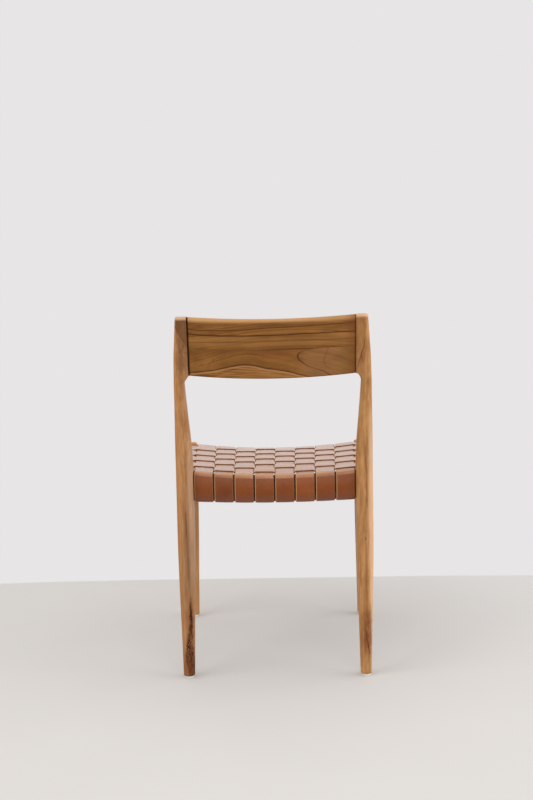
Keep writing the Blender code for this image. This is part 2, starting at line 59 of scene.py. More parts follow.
# Legs
rear_leg_width = 0.0373
rear_leg_depth = 0.044
foot_size = 0.025
rear_foot_rake = 0.024
rear_foot_splay = 0.004
front_foot_rake = 0.004
front_foot_splay = 0.0048
back_rake = 0.059
neck_width = 0.0225
neck_depth = 0.033
neck_inset = 0.0032
stile_top_width = 0.0262
stile_top_depth = 0.030
bracket_rise = 0.0155
soft_radius = 0.0125
joint_radius = 0.0025
top_edge_radius = 0.004
foot_edge_radius = 0.002
leg_step = 0.006
top_step = 0.004
shoulder_steps = 16

# Back board
board_height = 0.1265
board_thickness = 0.022
board_bow = 0.045
board_dip = 0.0062
board_top_drop = 0.001
board_end_grip = 0.0008
board_top_radius = 0.0075
board_bottom_radius = 0.005
seam_radius = 0.0004
seam_gap = 0.00012
lower_plank_share = 0.482
board_spans = 72

# Seat rails, with their tenons
rail_height = 0.063
rail_thickness = 0.022
rail_radius = 0.0075
seat_rise = 0.002
rear_rail_bow = 0.012
rear_rail_dip = 0.0075
rear_rail_belly = 0.0026
front_rail_dip = 0.013
side_rail_inset = 0.0048
rail_spans = 40
tenon_thickness = 0.010
tenon_height = 0.044
tenon_radius = 0.0035
tenon_length = 0.0155
side_tenon_length = 0.0175
fit_gap = 0.0003
cut_overrun = 0.004

# Dowel and nail holes
dowel_radius = 0.004
dowel_in_board = 0.014
dowel_in_leg = 0.018
nail_hole_radius = 0.0015
nail_in_leg = 0.0123
hole_steps = 24

# Leather straps
long_strap_count = 8
cross_strap_count = 9
strap_thickness = 0.0026
strap_gap = 0.004
strap_edge_radius = 0.0009
strap_crown = 0.0004
strap_tail = 0.034
strap_bulge = 0.0022
# Width of a painted highlight along one side edge of each strap, in the cut edge's colour: wide on the long
# straps, barely any on the cross straps
long_strap_lit_edge = 0.0010
cross_strap_lit_edge = 0.0002
weave_crown = 0.0041
long_strap_swing = 0.00035
long_strap_grip = 6.5
cross_strap_swing = 0.00235
cross_strap_grip = 11
row_bow = 0.010
row_leg_clearance = 0.002
column_leg_clearance = 0.0025

# Tacks that hold the straps' tails inside the rails
tack_radius = 0.0032
tack_height = 0.0013
tack_drop = 0.010
tack_rim = 0.0005
tack_shares = (0.2, 0.5, 0.8)
dome_levels = 5
dome_segments = 20

# Foot glides
glide_edge = 0.0016
glide_top_edge = 0.0004
glide_sole_radius = 0.0060
glide_sole_depth = 0.0003
glide_pocket_radius = 0.0035
glide_pocket_floor = 0.0015
glide_pocket_top = 0.0031
glide_hole_radius = 0.0015

# Steps along a rounded corner
corner_steps = 8
rail_corner_steps = 6
edge_steps = 6
edge_arc_steps = 3
end_steps = 9
face_steps = 12
tail_steps = 3
flat_steps = 2
crossing_steps = 7
turned_steps = 48
across_shares = (0, 0.05, 0.15, 0.32, 0.5, 0.68, 0.85, 0.95, 1)
edge_nudge_share = 0.01
merge_distance = 0.000001
curve_margin_share = 0.15
strap_marks = ("depth", "rim", "along", "share", "bend", "tone")
strap_seed = 11
crease_angle = math.radians(40)

# Outline of the legs, as in the model: a height share, and how much of the growth or lean is reached there
leg_growth_shares = ((0.0, 0.0), (0.25, 0.33), (0.5, 0.69), (0.75, 0.94), (1.0, 1.0))
foot_lean_shares = (1.0, 0.68, 0.4, 0.16, 0.0)
stile_narrowing_shares = ((0.15, 0.04), (0.35, 0.2), (0.57, 0.49), (0.8, 0.79), (1.0, 1.0))
stile_rake_power = 1.25
stile_outer_shares = ((0.3, 0.26), (0.65, 0.62))
shoulder_hollow_shares = {"left": 0.35, "right": 0.8}

# Places worked out from the frame and the sizes above
overall_height = rear_leg_high.z
rear_outer = rear_leg_high.x
rear_inner = rear_outer - rear_leg_width
rear_leg_front_y = rear_leg_low.y
rear_leg_back_y = rear_leg_front_y + rear_leg_depth
half_width = front_leg_high.x
front_inner = front_leg_low.x
front_leg_front_y = front_leg_low.y
front_leg_back_y = front_leg_high.y
front_leg_top = front_leg_high.z
foot_z = rear_leg_low.z
foot_side_z = foot_z + foot_edge_radius
stile_side_z = overall_height - top_edge_radius
rail_top = rear_rail_high.z
rail_bottom = rail_top - rail_height
rear_rail_front_y = rear_rail_low.y
rear_rail_back_y = rear_rail_front_y + rail_thickness
front_rail_front_y = front_rail_low.y
front_rail_back_y = front_rail_high.y
side_rail_outer_rear = rear_outer - side_rail_inset
side_rail_outer_front = half_width - side_rail_inset
board_top = overall_height - board_top_drop
board_bottom = board_top - board_height
board_end = upper_plank_high.x
neck_z = board_bottom - bracket_rise
weave_rear_y = rear_rail_front_y + rail_radius
weave_front_y = front_rail_back_y - rail_radius
strap_lift = fit_gap + strap_thickness / 2
glide_radius = (glide_high.x - glide_low.x) / 2
sides = ((1, "left"), (-1, "right"))
planks = ("lower", "upper")


def paint(red, green, blue):
    """Turns a colour as a screen shows it, from 0 to 255, into the linear colour that a shader takes."""
    levels = [channel / 255 for channel in (red, green, blue)]
    return tuple(v / 12.92 if v <= 0.04045 else ((v + 0.055) / 1.055) ** 2.4 for v in levels) + (1.0,)


def ramp_stops(places, *colours):
    """The stops of a colour ramp."""
    return tuple(zip(places, [paint(*colour) for colour in colours]))


# Colours of the wood
wood_places = (0.10, 0.38, 0.58, 0.78, 1.0)
board_places = (0.10, 0.36, 0.56, 0.78, 1.0)
left_leg_stops = ramp_stops(
    wood_places, (198, 152, 110), (178, 128, 84), (156, 107, 65), (118, 74, 40), (62, 36, 18))
leg_stops = ramp_stops(
    wood_places, (206, 158, 108), (186, 136, 84), (164, 114, 66), (126, 80, 42), (62, 36, 18))
rail_stops = ramp_stops(
    wood_places, (108, 66, 34), (88, 50, 24), (70, 38, 16), (50, 26, 10), (30, 16, 6))
board_stops = ramp_stops(
    board_places, (168, 116, 58), (142, 94, 42), (118, 74, 29), (88, 50, 19), (46, 26, 12))
leg_pore = paint(104, 66, 40)
board_pore = paint(76, 46, 25)
charcoal = paint(62, 32, 8)
burnt = paint(56, 22, 0)
# Painted shade along the joint of the left stile and the board, where the stile's inner side is in shade
painted_joint_shade = paint(40, 8, 0)
umber = paint(96, 60, 36)
brown_blotch = paint(138, 94, 58)
pale_blotch = paint(204, 166, 126)
red_blotch = paint(140, 92, 52)
straw_blotch = paint(206, 160, 112)
# Painted light and shade across the left leg, as light falls on its rounded sides: the next three colours
painted_inner_highlight = paint(188, 152, 122)
painted_middle_shade = paint(120, 90, 66)
painted_outer_light = paint(190, 130, 70)
greyed_wood = paint(124, 88, 60)
foot_halo = paint(132, 74, 32)
foot_core = paint(58, 20, 0)
foot_speck = paint(212, 166, 122)
foot_brown = paint(104, 54, 20)
mottled_stile = paint(104, 68, 38)
brown_stile = paint(96, 58, 28)
shaded_stile = paint(120, 70, 30)
# Painted highlight on the rounded tops of the stiles
painted_top_highlight = paint(226, 182, 146)
grey_streak = paint(120, 88, 62)
# Painted highlight along the right leg's rounded outer back edge
painted_rim_highlight = paint(228, 190, 154)
reddish_foot = paint(116, 62, 28)
swirl_shadow = paint(140, 88, 48)
seam_strip = paint(160, 112, 58)
seam_shadow = paint(104, 64, 28)
# Painted highlight along the back board's rounded top edge
painted_top_edge_highlight = paint(206, 156, 104)
warm_end = paint(112, 56, 8)
dark_oil = paint(84, 34, 0)
pinkish_wood = paint(148, 106, 72)
olive_wood = paint(124, 92, 50)
reddish_wood = paint(128, 68, 34)
arch_glow = paint(190, 140, 96)
low_straw = paint(186, 134, 78)

# Colours of the leather, the fittings and the stage
leather_stops = ramp_stops(
    (0.10, 0.45, 0.75, 1.0), (100, 46, 14), (126, 62, 18), (140, 72, 24), (156, 86, 34))
leather_dark = paint(74, 40, 24)
# Painted shade on the lower part of the straps round the rails
painted_low_shade = paint(92, 42, 10)
# The roll band where a strap bends over a rail: partly the paler pull-up of stretched leather, partly a
# painted highlight
pull_up_and_highlight_tan = paint(198, 144, 104)
# Painted light: on the straps' upper part, then much more on the seat's top
painted_upper_light = paint(158, 106, 78)
painted_seat_top_light = paint(190, 124, 66)
# Colour of the long straps' cut edges, and of the painted highlight along one side edge
raw_edge_and_highlight_tan = paint(230, 182, 126)
edge_brown = paint(134, 88, 56)
edge_dark = paint(96, 58, 36)
flesh_pale = paint(150, 104, 72)
flesh_brown = paint(120, 78, 52)
beech_pale = paint(218, 184, 140)
beech_tan = paint(196, 156, 110)
beech_fleck = paint(160, 112, 72)
steel_bright = paint(176, 174, 170)
steel_dull = paint(126, 120, 112)
nylon_white = paint(234, 233, 229)
nylon_grey = paint(222, 220, 214)
nylon_scuff = paint(150, 146, 138)
floor_pale = paint(216, 213, 210)
floor_grey = paint(211, 208, 205)
backdrop_colour = paint(232, 229, 230)
dim_room_colour = paint(92, 88, 86)

# Wood of each piece: the grain's direction, the heart's place and lean, and how the rings sway and show
rear_leg_bend = ((0.0, 0.024), (0.20, 0.008), (0.40, 0.0), (0.50, 0.002), (0.66, 0.027), (0.80, 0.059))
front_left_wood = {"along": 2, "heart": (0.16, -0.34), "tilt": (0.01, 0.01), "sway": 0.0035, "ring": 0.0038,
                   "bands": 0.80, "streaks": 0.60, "clouds": 0.50, "late": 0.12, "stops": leg_stops,
                   "pore": leg_pore, "seed": 29.3}
front_right_wood = {**front_left_wood, "heart": (-0.29, -0.22), "tilt": (-0.01, 0.01), "ring": 0.0045,
                    "seed": 41.9}
left_leg_wood = {**front_left_wood, "heart": (0.285, 0.05), "tilt": (-0.006, 0.004), "ring": 0.0046,
                 "bend": rear_leg_bend, "bands": 0.72, "streaks": 0.44, "clouds": 0.72,
                 "stops": left_leg_stops, "seed": 3.1}
right_leg_wood = {**left_leg_wood, "heart": (-0.105, 0.06), "tilt": (0.007, 0.004), "ring": 0.0052,
                  "bands": 0.58, "streaks": 0.36, "stops": leg_stops, "seed": 17.6}
cross_rail_wood = {**front_left_wood, "along": 0, "heart": (0.05, 0.30), "stops": rail_stops, "seed": 53.7}
side_rail_wood = {**cross_rail_wood, "along": 1, "heart": (0.02, 0.31), "tilt": (0.02, 0.0), "seed": 61.2}
upper_plank_wood = {
    "along": 0, "sway": 0.004, "ring": 0.0062, "bands": 0.50, "streaks": 0.42, "clouds": 0.50, "late": 0.14,
    "stops": board_stops, "pore": board_pore, "seed": 71.4}
lower_plank_wood = {**upper_plank_wood, "sway": 0.006, "ring": 0.0085, "late": 0.06, "bands": 0.40,
                    "seed": 83.8}

# Growth rings
ring_drift = 3.2
ring_drift_share = 0.22
late_wood_power = 2.6
late_wood_end = 0.93
late_wood_base = 0.35
late_wood_spread = 0.9
upper_rings_start = 0.9
upper_rings_slant = 0.35
lower_rings_start = 0.7
lower_rings_slant = 0.3

# What the marks of the grain add to the teak's tone, colour, roughness and height
teak_tone = 0.46
fibre_tone = 0.14
year_tone = 0.05
pore_tint = 0.45
teak_roughness = 0.46
pore_roughness = 0.16
fibre_roughness = 0.10
late_wood_polish = 0.05
fibre_height = 0.35
pore_depth = 0.8
late_wood_depth = 0.12
teak_relief = {"bump": 0.45, "reach": 0.00025, "Specular_IOR_Level": 0.18}

# Beech, steel and nylon
beech_roughness = 0.55
beech_fibre_roughness = 0.1
ray_tint = 0.5
beech_relief = {"bump": 0.3, "reach": 0.0001}
steel_roughness = 0.28
wear_roughness = 0.22
steel_relief = {"bump": 0.15, "reach": 0.00005, "Metallic": 1.0}
nylon_roughness = 0.42
scuff_roughness = 0.3
scuff_tint = 0.6
scuff_edge = (0.52, 0.66)
sole_edge = (0.0014, 0.0002)
nylon_relief = {"bump": 0.2, "reach": 0.00008, "Specular_IOR_Level": 0.4}

# Leather: how its noise lies across a strap and steps from strap to strap, and its browns
strap_noise_width = 0.04
strap_noise_step = 40
cloud_brown = 0.6
blotch_brown = 0.25
strap_brown = 0.5
middle_brown = 0.5
# The roll band over a rail's top: partly the paler pull-up of stretched leather, partly a painted highlight
roll_band_bend = (0.60, 1)
roll_band_rise = (0.4455, 0.4545)
roll_band_waver = 0.006
roll_band_tint = 0.85
crease_tint = 0.22
rim_edge = (0.0014, 0.0004)
rim_tint = 0.32

# Leather: where its flesh side, its cut edges and the painted highlight along one side edge show, and how it
# shines and rises
flesh_edge = (-0.2, -0.6)
cut_edge = (0.97, 0.60)
lit_edge_fade = 1.6
lit_edge_side = (0.4, 0.6)
leather_roughness = 0.25
cloud_roughness = 0.12
crease_roughness = 0.08
flesh_roughness = 0.4
cut_roughness = 0.3
pebble_height = 0.9
crease_depth = 0.5
wax_weight = 0.75
leather_relief = {"bump": 0.60, "reach": 0.0003, "Specular_IOR_Level": 0.25, "Coat_Roughness": 0.16}

# Noises: waves a metre along each axis or every way, then the detail, the roughness and the distortion
sway_noise = ((22, 22, 2.6), 2.0, 0.55)
band_noise = ((85, 1.3, 1), 3.0, 0.6)
streak_noise = ((420, 5, 1), 3.0, 0.65)
fibre_noise = ((2600, 2600, 70),)
cloud_noise = ((45, 45, 11), 3.0, 0.6)
blotch_noise = ((190, 190, 17), 4.0, 0.60, 0.3)
wander_noise = ((90, 60, 1), 3.0, 0.6)
greyed_noise = ((120, 120, 26), 3.0, 0.6)
mottle_noise = ((260, 260, 90), 3.0, 0.65)
reddish_noise = ((320, 320, 70), 3.0, 0.65)
long_line_noise = ((26, 50, 1), 3.0, 0.6)
worn_line_noise = ((30, 0, 0),)
arch_noise = ((40, 60, 1), 3.0, 0.6)
beech_fibre_noise = ((60, 1900, 1900),)
steel_wear_noise = (900, 3.0, 0.6)
scratch_noise = ((5000, 400, 5000), 1.0)
nylon_cloud_noise = (160,)
grit_noise = (3200,)
leather_cloud_noise = (34, 3.0, 0.6)
leather_blotch_noise = (160,)
flesh_noise = (1500, 3.0, 0.7)
floor_noise = (3,)
pebble_waves = 1150

# Spots: where a noise starts to show and is full, then its waves and the rest
pore_spots = ((0.64, 0.74), (1500, 1500, 75), 1.0)
foot_flecks = ((0.41, 0.53), (300, 300, 55), 4.0, 0.65, 0.8)
foot_specks = ((0.60, 0.66), (620, 620, 300))
straw_lines = ((0.48, 0.62), (9, 620, 1))
hatch_spots = ((0.50, 0.60), (150, 560, 1), 3.0, 0.65)
ray_flecks = ((0.60, 0.68), (350, 1400, 2400), 1.0)
crease_spots = ((0.58, 0.72), 900, 3.0, 0.7)

# How far the slanted spots lean, as a share of one axis that is added to another
foot_fleck_slant = 60 / 55
straw_slant = 30 / 620
hatch_slant = 4 / 3

# Seeds of the noises, as places on an axis that they don't follow
streak_seed = 7
wander_seed = 3.7
arch_seed = 8.0
straw_seed = 4.4
hatch_seed = 6.0
long_line_seed = 2
worn_line_seed = 5

# Zones of colour: the colour, its strength, and limits of (axis, where it starts, where it is full)
# Painted light and shade across the left leg: a painted highlight on its inner side, painted shade down the
# middle, painted light on its outer side
left_leg_light_bands = (
    (painted_inner_highlight, 0.60, ("x", 0.194, 0.188), ("z", 0.14, 0.26), ("z", 0.56, 0.46)),
    (painted_middle_shade, 0.40, ("x", 0.1865, 0.1915), ("x", 0.2045, 0.1995), ("z", 0.14, 0.24), ("z", 0.46, 0.36)),
    (painted_outer_light, 0.35, ("x", 0.199, 0.208)))
# Painted shade along the left stile's inner side by the board
left_joint_shade_zone = (painted_joint_shade, 0.95, ("x", 0.1814, 0.1800), ("z", 0.672, 0.676))
greyed_zone = (greyed_wood, 0.55, ("z", 0.40, 0.26))
mottled_stile_zone = (mottled_stile, 1, ("x", 0.206, 0.199), ("z", 0.664, 0.700))
brown_stile_zone = (brown_stile, 0.5, ("z", 0.690, 0.725))
right_stile_zone = (shaded_stile, 0.42, ("x", -0.2040, -0.1960), ("z", 0.640, 0.675))
# Painted highlight along the right leg's rounded outer back edge
painted_rim_highlight_zone = (painted_rim_highlight, 0.55, ("x", -0.2030, -0.2100), ("z", 0.62, 0.50))
# Painted highlight on the stiles' rounded tops
painted_top_highlight_zone = (painted_top_highlight, 0.75, ("z", 0.7900, 0.7965))
seam_strip_zone = (seam_strip, 0.35, ("z", 0.7315, 0.7395), ("z", 0.7595, 0.7515))
seam_shadow_zone = (seam_shadow, 0.35, ("z", 0.712, 0.728), ("x", -0.10, 0.02))
lower_plank_zones = (
    (pinkish_wood, 0.30, ("x", -0.160, -0.125), ("x", -0.052, -0.075)),
    (olive_wood, 0.35, ("x", -0.138, -0.150)),
    (reddish_wood, 0.45, ("x", -0.055, -0.025), ("x", 0.045, 0.015), ("z", 0.700, 0.722)))
# The board's ends: painted shade at the left end where it meets the stile, warmer wood and a dark line at the
# right end
board_end_zones = (
    (painted_joint_shade, 0.9, ("x", 0.1764, 0.1780)),
    (warm_end, 0.45, ("x", -0.150, -0.178)),
    (dark_oil, 0.8, ("x", -0.1762, -0.1780)))
# Painted light and shade on the leather: lighter on its upper part, lighter still on the seat's top, darker
# on its lower part
leather_light_zones = (
    (painted_upper_light, 0.30, ("z", 0.405, 0.455)),
    (painted_seat_top_light, 0.80, ("y", 0.172, 0.158), ("z", 0.435, 0.443)),
    (painted_low_shade, 0.45, ("z", 0.412, 0.396)))
foot_zone = (foot_brown, 0.55, ("z", 0.075, 0.015))
hatch_zone = (charcoal, 0.80, ("x", 0.094, 0.104), ("x", 0.142, 0.132))

# Blotches: each leg's seed, dark and pale colour, then where the noise turns dark or pale, and how strongly
left_blotches = (2.0, brown_blotch, pale_blotch)
right_blotches = (7.0, red_blotch, straw_blotch)
dark_blotch_edge = (0.50, 0.70)
pale_blotch_edge = (0.48, 0.32)
dark_blotch_tint = 0.48
pale_blotch_tint = 0.34

# Marks of the stiles and of the right leg, in metres from a line or a face, and their strengths
brown_stile_edge = (0.001, -0.004)
mottle_base = 0.05
mottle_spread = 0.9
rim_highlight_depth = (0.0, 0.008)
reddish_band = (0, 0.006, 0.007)
reddish_gain = 1.43
reddish_most = 0.95
swirl_band = (-0.004, 0.002, 0.006)
swirl_tint = 0.45

# Marks of the left foot: edges in metres from the patch's line, ends along the leg, and strengths
foot_patch_shift = 0.0005
foot_halo_edge = (0.0045, -0.0005)
foot_core_edge = (0.0018, -0.0015)
foot_halo_tint = 0.70
foot_core_base = 0.16
foot_fleck_tint = 0.84
foot_vein = (0.0012, 0.7)
speck_base = 0.30
speck_more = 0.45
speck_low = (0.045, 0.070)
speck_high = (0.105, 0.085)

# Marks of the board: a vein is its width and strength, and a band lies beside the arch
upper_line_wander = 0.0022
worn_line_base = 0.55
worn_line_spread = 0.9
# Painted highlight along the board's rounded top edge: its rise, its strength, and how it weakens towards the
# chair's right
top_highlight_rise = (-0.003, 0.006)
top_highlight_tint = 0.80
top_highlight_fade = 0.25
top_highlight_side = (0.0, -0.15)
arch_wander = 0.002
arch_start = (-0.085, -0.060)
arch_vein = (0.0012, 0.85)
arch_glow_band = (-0.0035, 0.0008, 0.0018)
arch_glow_tint = 0.45
low_straw_edge = (0.0, -0.003)
low_straw_tint = 0.5
steep_line_squeeze = 0.6
hook_vein = (0.0011, 0.85)
far_arc_vein = (0.0008, 0.45)
hatch_width = 0.0034
hatch_wander = 2

# Upright veins: the colour, points of (z, x), the ends, their softness, the wander, the width, the strength
left_leg_veins = (
    (umber, ((0.15, 0.1915), (0.22, 0.1925), (0.30, 0.1955), (0.34, 0.1965)),
     (0.20, 0.32), 0.02, 0.004, 0.0016, 0.35),
    (charcoal, ((0.30, 0.1961), (0.3225, 0.1961), (0.3513, 0.1965), (0.3846, 0.1958)),
     (0.315, 0.372), 0.012, 0.0018, 0.0011, 0.85))
left_board_vein = (
    burnt, ((0.70, 0.1700), (0.7365, 0.1808), (0.7518, 0.1908), (0.7733, 0.2016), (0.80, 0.2140)),
    (0.735, 0.79), 0.015, 0.0022, 0.0012, 0.85)
left_rail_vein = (
    umber, ((0.42, 0.1945), (0.45, 0.1952), (0.50, 0.1962)), (0.42, 0.49), 0.02, 0.002, 0.0016, 0.45)
right_streak = (
    grey_streak, ((0.0, -0.1985), (0.1, -0.2000), (0.22, -0.1980), (0.32, -0.1988), (0.40, -0.1975)),
    (0.12, 0.38), 0.05, 0.003, 0.0022, 0.22)
right_foot_veins = (
    (burnt, ((0.040, -0.2045), (0.066, -0.2010), (0.090, -0.1965)),
     (0.048, 0.082), 0.008, 0.002, 0.0009, 0.7),
    (burnt, ((0.075, -0.1990), (0.110, -0.1945)), (0.083, 0.102), 0.008, 0.002, 0.0009, 0.7))
right_board_vein = (
    charcoal, ((0.670, -0.1790), (0.6889, -0.1832), (0.7169, -0.1917), (0.7319, -0.1958), (0.76, -0.2000)),
    (0.685, 0.745), 0.015, 0.002, 0.0011, 0.75)
right_swirl = (
    burnt, ((0.690, -0.1990), (0.700, -0.1935), (0.712, -0.1900), (0.722, -0.1925), (0.730, -0.1985)),
    (0.698, 0.722), 0.008, 0.003, 0.0009, 0.65)

# The patch above the left foot, as points of (z, x) and (z, half width), and the streak above the right foot
left_foot_line = ((0.0, 0.1885), (0.029, 0.1915), (0.06, 0.1945), (0.096, 0.1925), (0.129, 0.1900),
                  (0.151, 0.1905), (0.2, 0.1920), (0.26, 0.1935))
left_foot_course = (left_foot_line, (-0.05, 0.172), 0.026, 0.0075)
foot_patch_widths = ((0.0, 0.0056), (0.02, 0.0066), (0.042, 0.0090), (0.065, 0.0070), (0.09, 0.0054),
                     (0.13, 0.0032), (0.18, 0.0016))
right_foot_course = (((0.0, -0.1995), (0.11, -0.2000), (0.20, -0.1990)), (0.05, 0.15), 0.03, 0.006)

# Knots: x, z, size, strength, and how much they are squeezed upward
right_leg_knots = ((-0.1985, 0.3053, 0.0017, 0.7, 0.45), (-0.2016, 0.0661, 0.0015, 0.7, 0.45))
plank_knot = (0.1501, 0.6968, 0.0016, 0.65)

# Lines along the board as points of (x, z): the upper plank's three also have a width and a strength
top_run = ((-0.18, 0.7820), (-0.0807, 0.7776), (0.0069, 0.7739), (0.1122, 0.7698))
top_line = (*top_run, (0.18, 0.7781))
top_rings = (*top_run, (0.18, 0.7778))
upper_plank_lines = (
    (top_line, 0.0010, 0.75),
    (((-0.18, 0.7634), (-0.0805, 0.7613), (0.0073, 0.7586), (0.1104, 0.7590), (0.18, 0.7668)), 0.0014, 0.95),
    (((-0.18, 0.7484), (0.0075, 0.7460), (0.18, 0.7449)), 0.0012, 0.45))
# The line under the painted highlight along the board's top edge
top_highlight_line = ((-0.18, 0.7877), (0.0067, 0.7847), (0.18, 0.7890))
arch_crown = ((-0.028, 0.6826), (0.0087, 0.6887), (0.0581, 0.6969), (0.099, 0.6909), (0.1269, 0.6851),
              (0.18, 0.6800))
arch_line = ((-0.18, 0.6400), (-0.0739, 0.6705), (-0.0532, 0.6759), *arch_crown)
arch_rings = ((-0.18, 0.6500), (-0.1221, 0.6640), (-0.0739, 0.6705), *arch_crown)
slant_line = ((0.095, 0.7190), (0.1009, 0.7168), (0.1180, 0.7090), (0.1347, 0.6989), (0.142, 0.6940))

# Lines that cross the lower plank as points of (z, x)
hook_line = ((0.6640, -0.1300), (0.6719, -0.1221), (0.6827, -0.1024), (0.6903, -0.0801), (0.7014, -0.0624),
             (0.7120, -0.0543), (0.7194, -0.0567), (0.7264, -0.0745))
far_arc_line = ((0.664, -0.1480), (0.672, -0.1390), (0.684, -0.1230), (0.700, -0.1100), (0.715, -0.1130))

# Stage, light and viewpoint
room_dim_start = 0.9
room_dim_end = 1.1
fill_colour = (1.0, 0.99, 0.985, 1.0)
fill_strength = 0.77
floor_half = 8.0
floor_fade = (0.97, 1.03)
dim_way = (-0.1, 0.5)
room_half_x = 1.5
room_half_y = 0.75
room_middle_y = 0.10
chair_middle = (0, 0, 0.42)
camera_place = (-0.0229, 2.5998, 0.846)
camera_aim = (0.01529, -0.99531, -0.0955)
camera_roll = math.radians(-1.07)
camera_lens = 50
camera_sensor = 36

# Lamps: place, size, power and colour
lamps = {
    "key_lamp": ((2.60, 1.64, 3.00), (2.6, 2.6), 38, (1.0, 0.98, 0.95)),
    "low_lamp": ((-0.4, 4.2, 2.5), (3.6, 2.0), 48, (0.97, 0.98, 1.0)),
    "side_lamp": ((-3.2, 0.3, 1.3), (3.2, 2.4), 50, (1.0, 1.0, 1.0))}


def mix(a, b, share):
    return a + (b - a) * share


def clamp(value):
    return min(1, max(0, value))


def box_middle(node):
    low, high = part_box(node)
    return (low + high) / 2


def bowl(x, half):
    """1 in the middle and 0 at the ends of a curved rail."""
    return 1 - min(1, (x / half) ** 2)


class Curve:
    """A smooth line through (place, value) points that never swings past them."""

    def __init__(self, points):
        self.points = points
        secants = [(b[1] - a[1]) / (b[0] - a[0]) for a, b in zip(points, points[1:])]
        inner = [0 if a * b <= 0 else 2 * a * b / (a + b) for a, b in zip(secants, secants[1:])]
        self.slopes = [secants[0]] + inner + [secants[-1]]

    def __call__(self, place):
        last = len(self.points) - 2
        i = 0
        while i < last and place > self.points[i + 1][0]:
            i += 1
        (low, low_value), (high, high_value) = self.points[i], self.points[i + 1]
        span = high - low
        t = clamp((place - low) / span)
        return hermite(t, low_value, high_value, self.slopes[i] * span, self.slopes[i + 1] * span)


def hermite(t, start, end, start_slope, end_slope):
    rise = t * t * (3 - 2 * t)
    return mix(start, end, rise) + start_slope * t * (1 - t) ** 2 - end_slope * t * t * (1 - t)


# Meshes

def piece_from(name, bm, material=None, node=None):
    """An object from a mesh. With a material it is a piece of the chair, and it can stand for a node."""
    bmesh.ops.recalc_face_normals(bm, faces=bm.faces)
    mesh = bpy.data.meshes.new(name)
    bm.to_mesh(mesh)
    bm.free()
    piece = bpy.data.objects.new(name, mesh)
    bpy.context.scene.collection.objects.link(piece)
    if material:
        mesh.materials.append(material)
        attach(piece, "root")
    if node:
        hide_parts(node)
    return piece


def shade(piece):
    piece.data.shade_smooth()
    piece.data.set_sharp_from_angle(angle=crease_angle)


def rounded_outline(low, high, radii, steps):
    """Points round a rectangle, with its own radius for each corner, from (low, low) anticlockwise."""
    signs = ((-1, -1), (1, -1), (1, 1), (-1, 1))
    points = []
    for corner, (sign_a, sign_b) in enumerate(signs):
        radius = radii[corner]
        centre_a = (low[0] + radius) if sign_a < 0 else (high[0] - radius)
        centre_b = (low[1] + radius) if sign_b < 0 else (high[1] - radius)
        start = math.pi + corner * math.pi / 2
        for step in range(steps + 1):
            angle = start + step / steps * math.pi / 2
            points.append((centre_a + radius * math.cos(angle), centre_b + radius * math.sin(angle)))
    return points


def add_bands(bm, levels):
    """Faces between each ring of vertices and the next."""
    count = len(levels[0])
    for lower, upper in zip(levels, levels[1:]):
        for i in range(count):
            j = (i + 1) % count
            bm.faces.new((lower[i], lower[j], upper[j], upper[i]))


def loft_mesh(rings):
    bm = bmesh.new()
    levels = [[bm.verts.new(point) for point in ring] for ring in rings]
    add_bands(bm, levels)
    bm.faces.new(levels[0])
    bm.faces.new(levels[-1])
    return bm


def round_bar(start, end, radius):
    """A cutter: a round bar between two points."""
    bm = bmesh.new()
    way = Vector(end) - Vector(start)
    turn = way.to_track_quat("Z", "Y").to_matrix().to_4x4()
    place = Matrix.Translation((Vector(start) + Vector(end)) / 2) @ turn
    bmesh.ops.create_cone(bm, cap_ends=True, segments=hole_steps, radius1=radius, radius2=radius,
                          depth=way.length, matrix=place)
    return bm


def carve(piece, cutters):
    """Cuts the cutters out of a piece and throws them away."""
    shapes = []
    for i, bm in enumerate(cutters):
        shape = piece_from("cutter_%d" % i, bm)
        boolean = piece.modifiers.new(shape.name, "BOOLEAN")
        boolean.operation = "DIFFERENCE"
        boolean.solver = "EXACT"
        boolean.object = shape
        shapes.append(shape)
    graph = bpy.context.evaluated_depsgraph_get()
    carved = bpy.data.meshes.new_from_object(piece.evaluated_get(graph))
    piece.modifiers.clear()
    uncut = piece.data
    piece.data = carved
    bpy.data.meshes.remove(uncut)
    carved.name = piece.name
    for shape in shapes:
        bpy.data.meshes.remove(shape.data)


# Legs

def stile_rake(z):
    share = max(0, (z - rail_top) / (overall_height - rail_top))
    return back_rake * share ** stile_rake_power


def stile_depth(z):
    if z <= neck_z:
        return mix(rear_leg_depth, neck_depth, max(0, (z - rail_top) / (neck_z - rail_top)))
    return mix(neck_depth, stile_top_depth, (z - neck_z) / (overall_height - neck_z))


def leaned(level, z):
    """A section of the leg, moved back to where the stile leans at this height."""
    back = rear_leg_back_y + stile_rake(z)
    return [*level[:2], back - stile_depth(z), back, *level[4:]]


def leg_ring(side, level, z, inset=0):
    inner, outer, front, back = level[:4]
    low = (inner + inset, front + inset)
    high = (outer - inset, back - inset)
    most = min(high[0] - low[0], high[1] - low[1]) / 2
    kept = [min(max(radius - inset, seam_radius), most) for radius in level[4:]]
    return [(side * x, y, z) for x, y in rounded_outline(low, high, kept, corner_steps)]


def leg_section(levels):
    """The leg's section at any height, from its keys of (height, inner, outer, front, back, four radii)."""
    curves = [Curve([(key[0], key[i]) for key in levels]) for i in range(1, len(levels[0]))]
    return lambda z: [curve(z) for curve in curves]


def foot_radii(joint_radii, growth):
    return [mix(foot_size / 2, radius, growth ** 2) for radius in joint_radii]


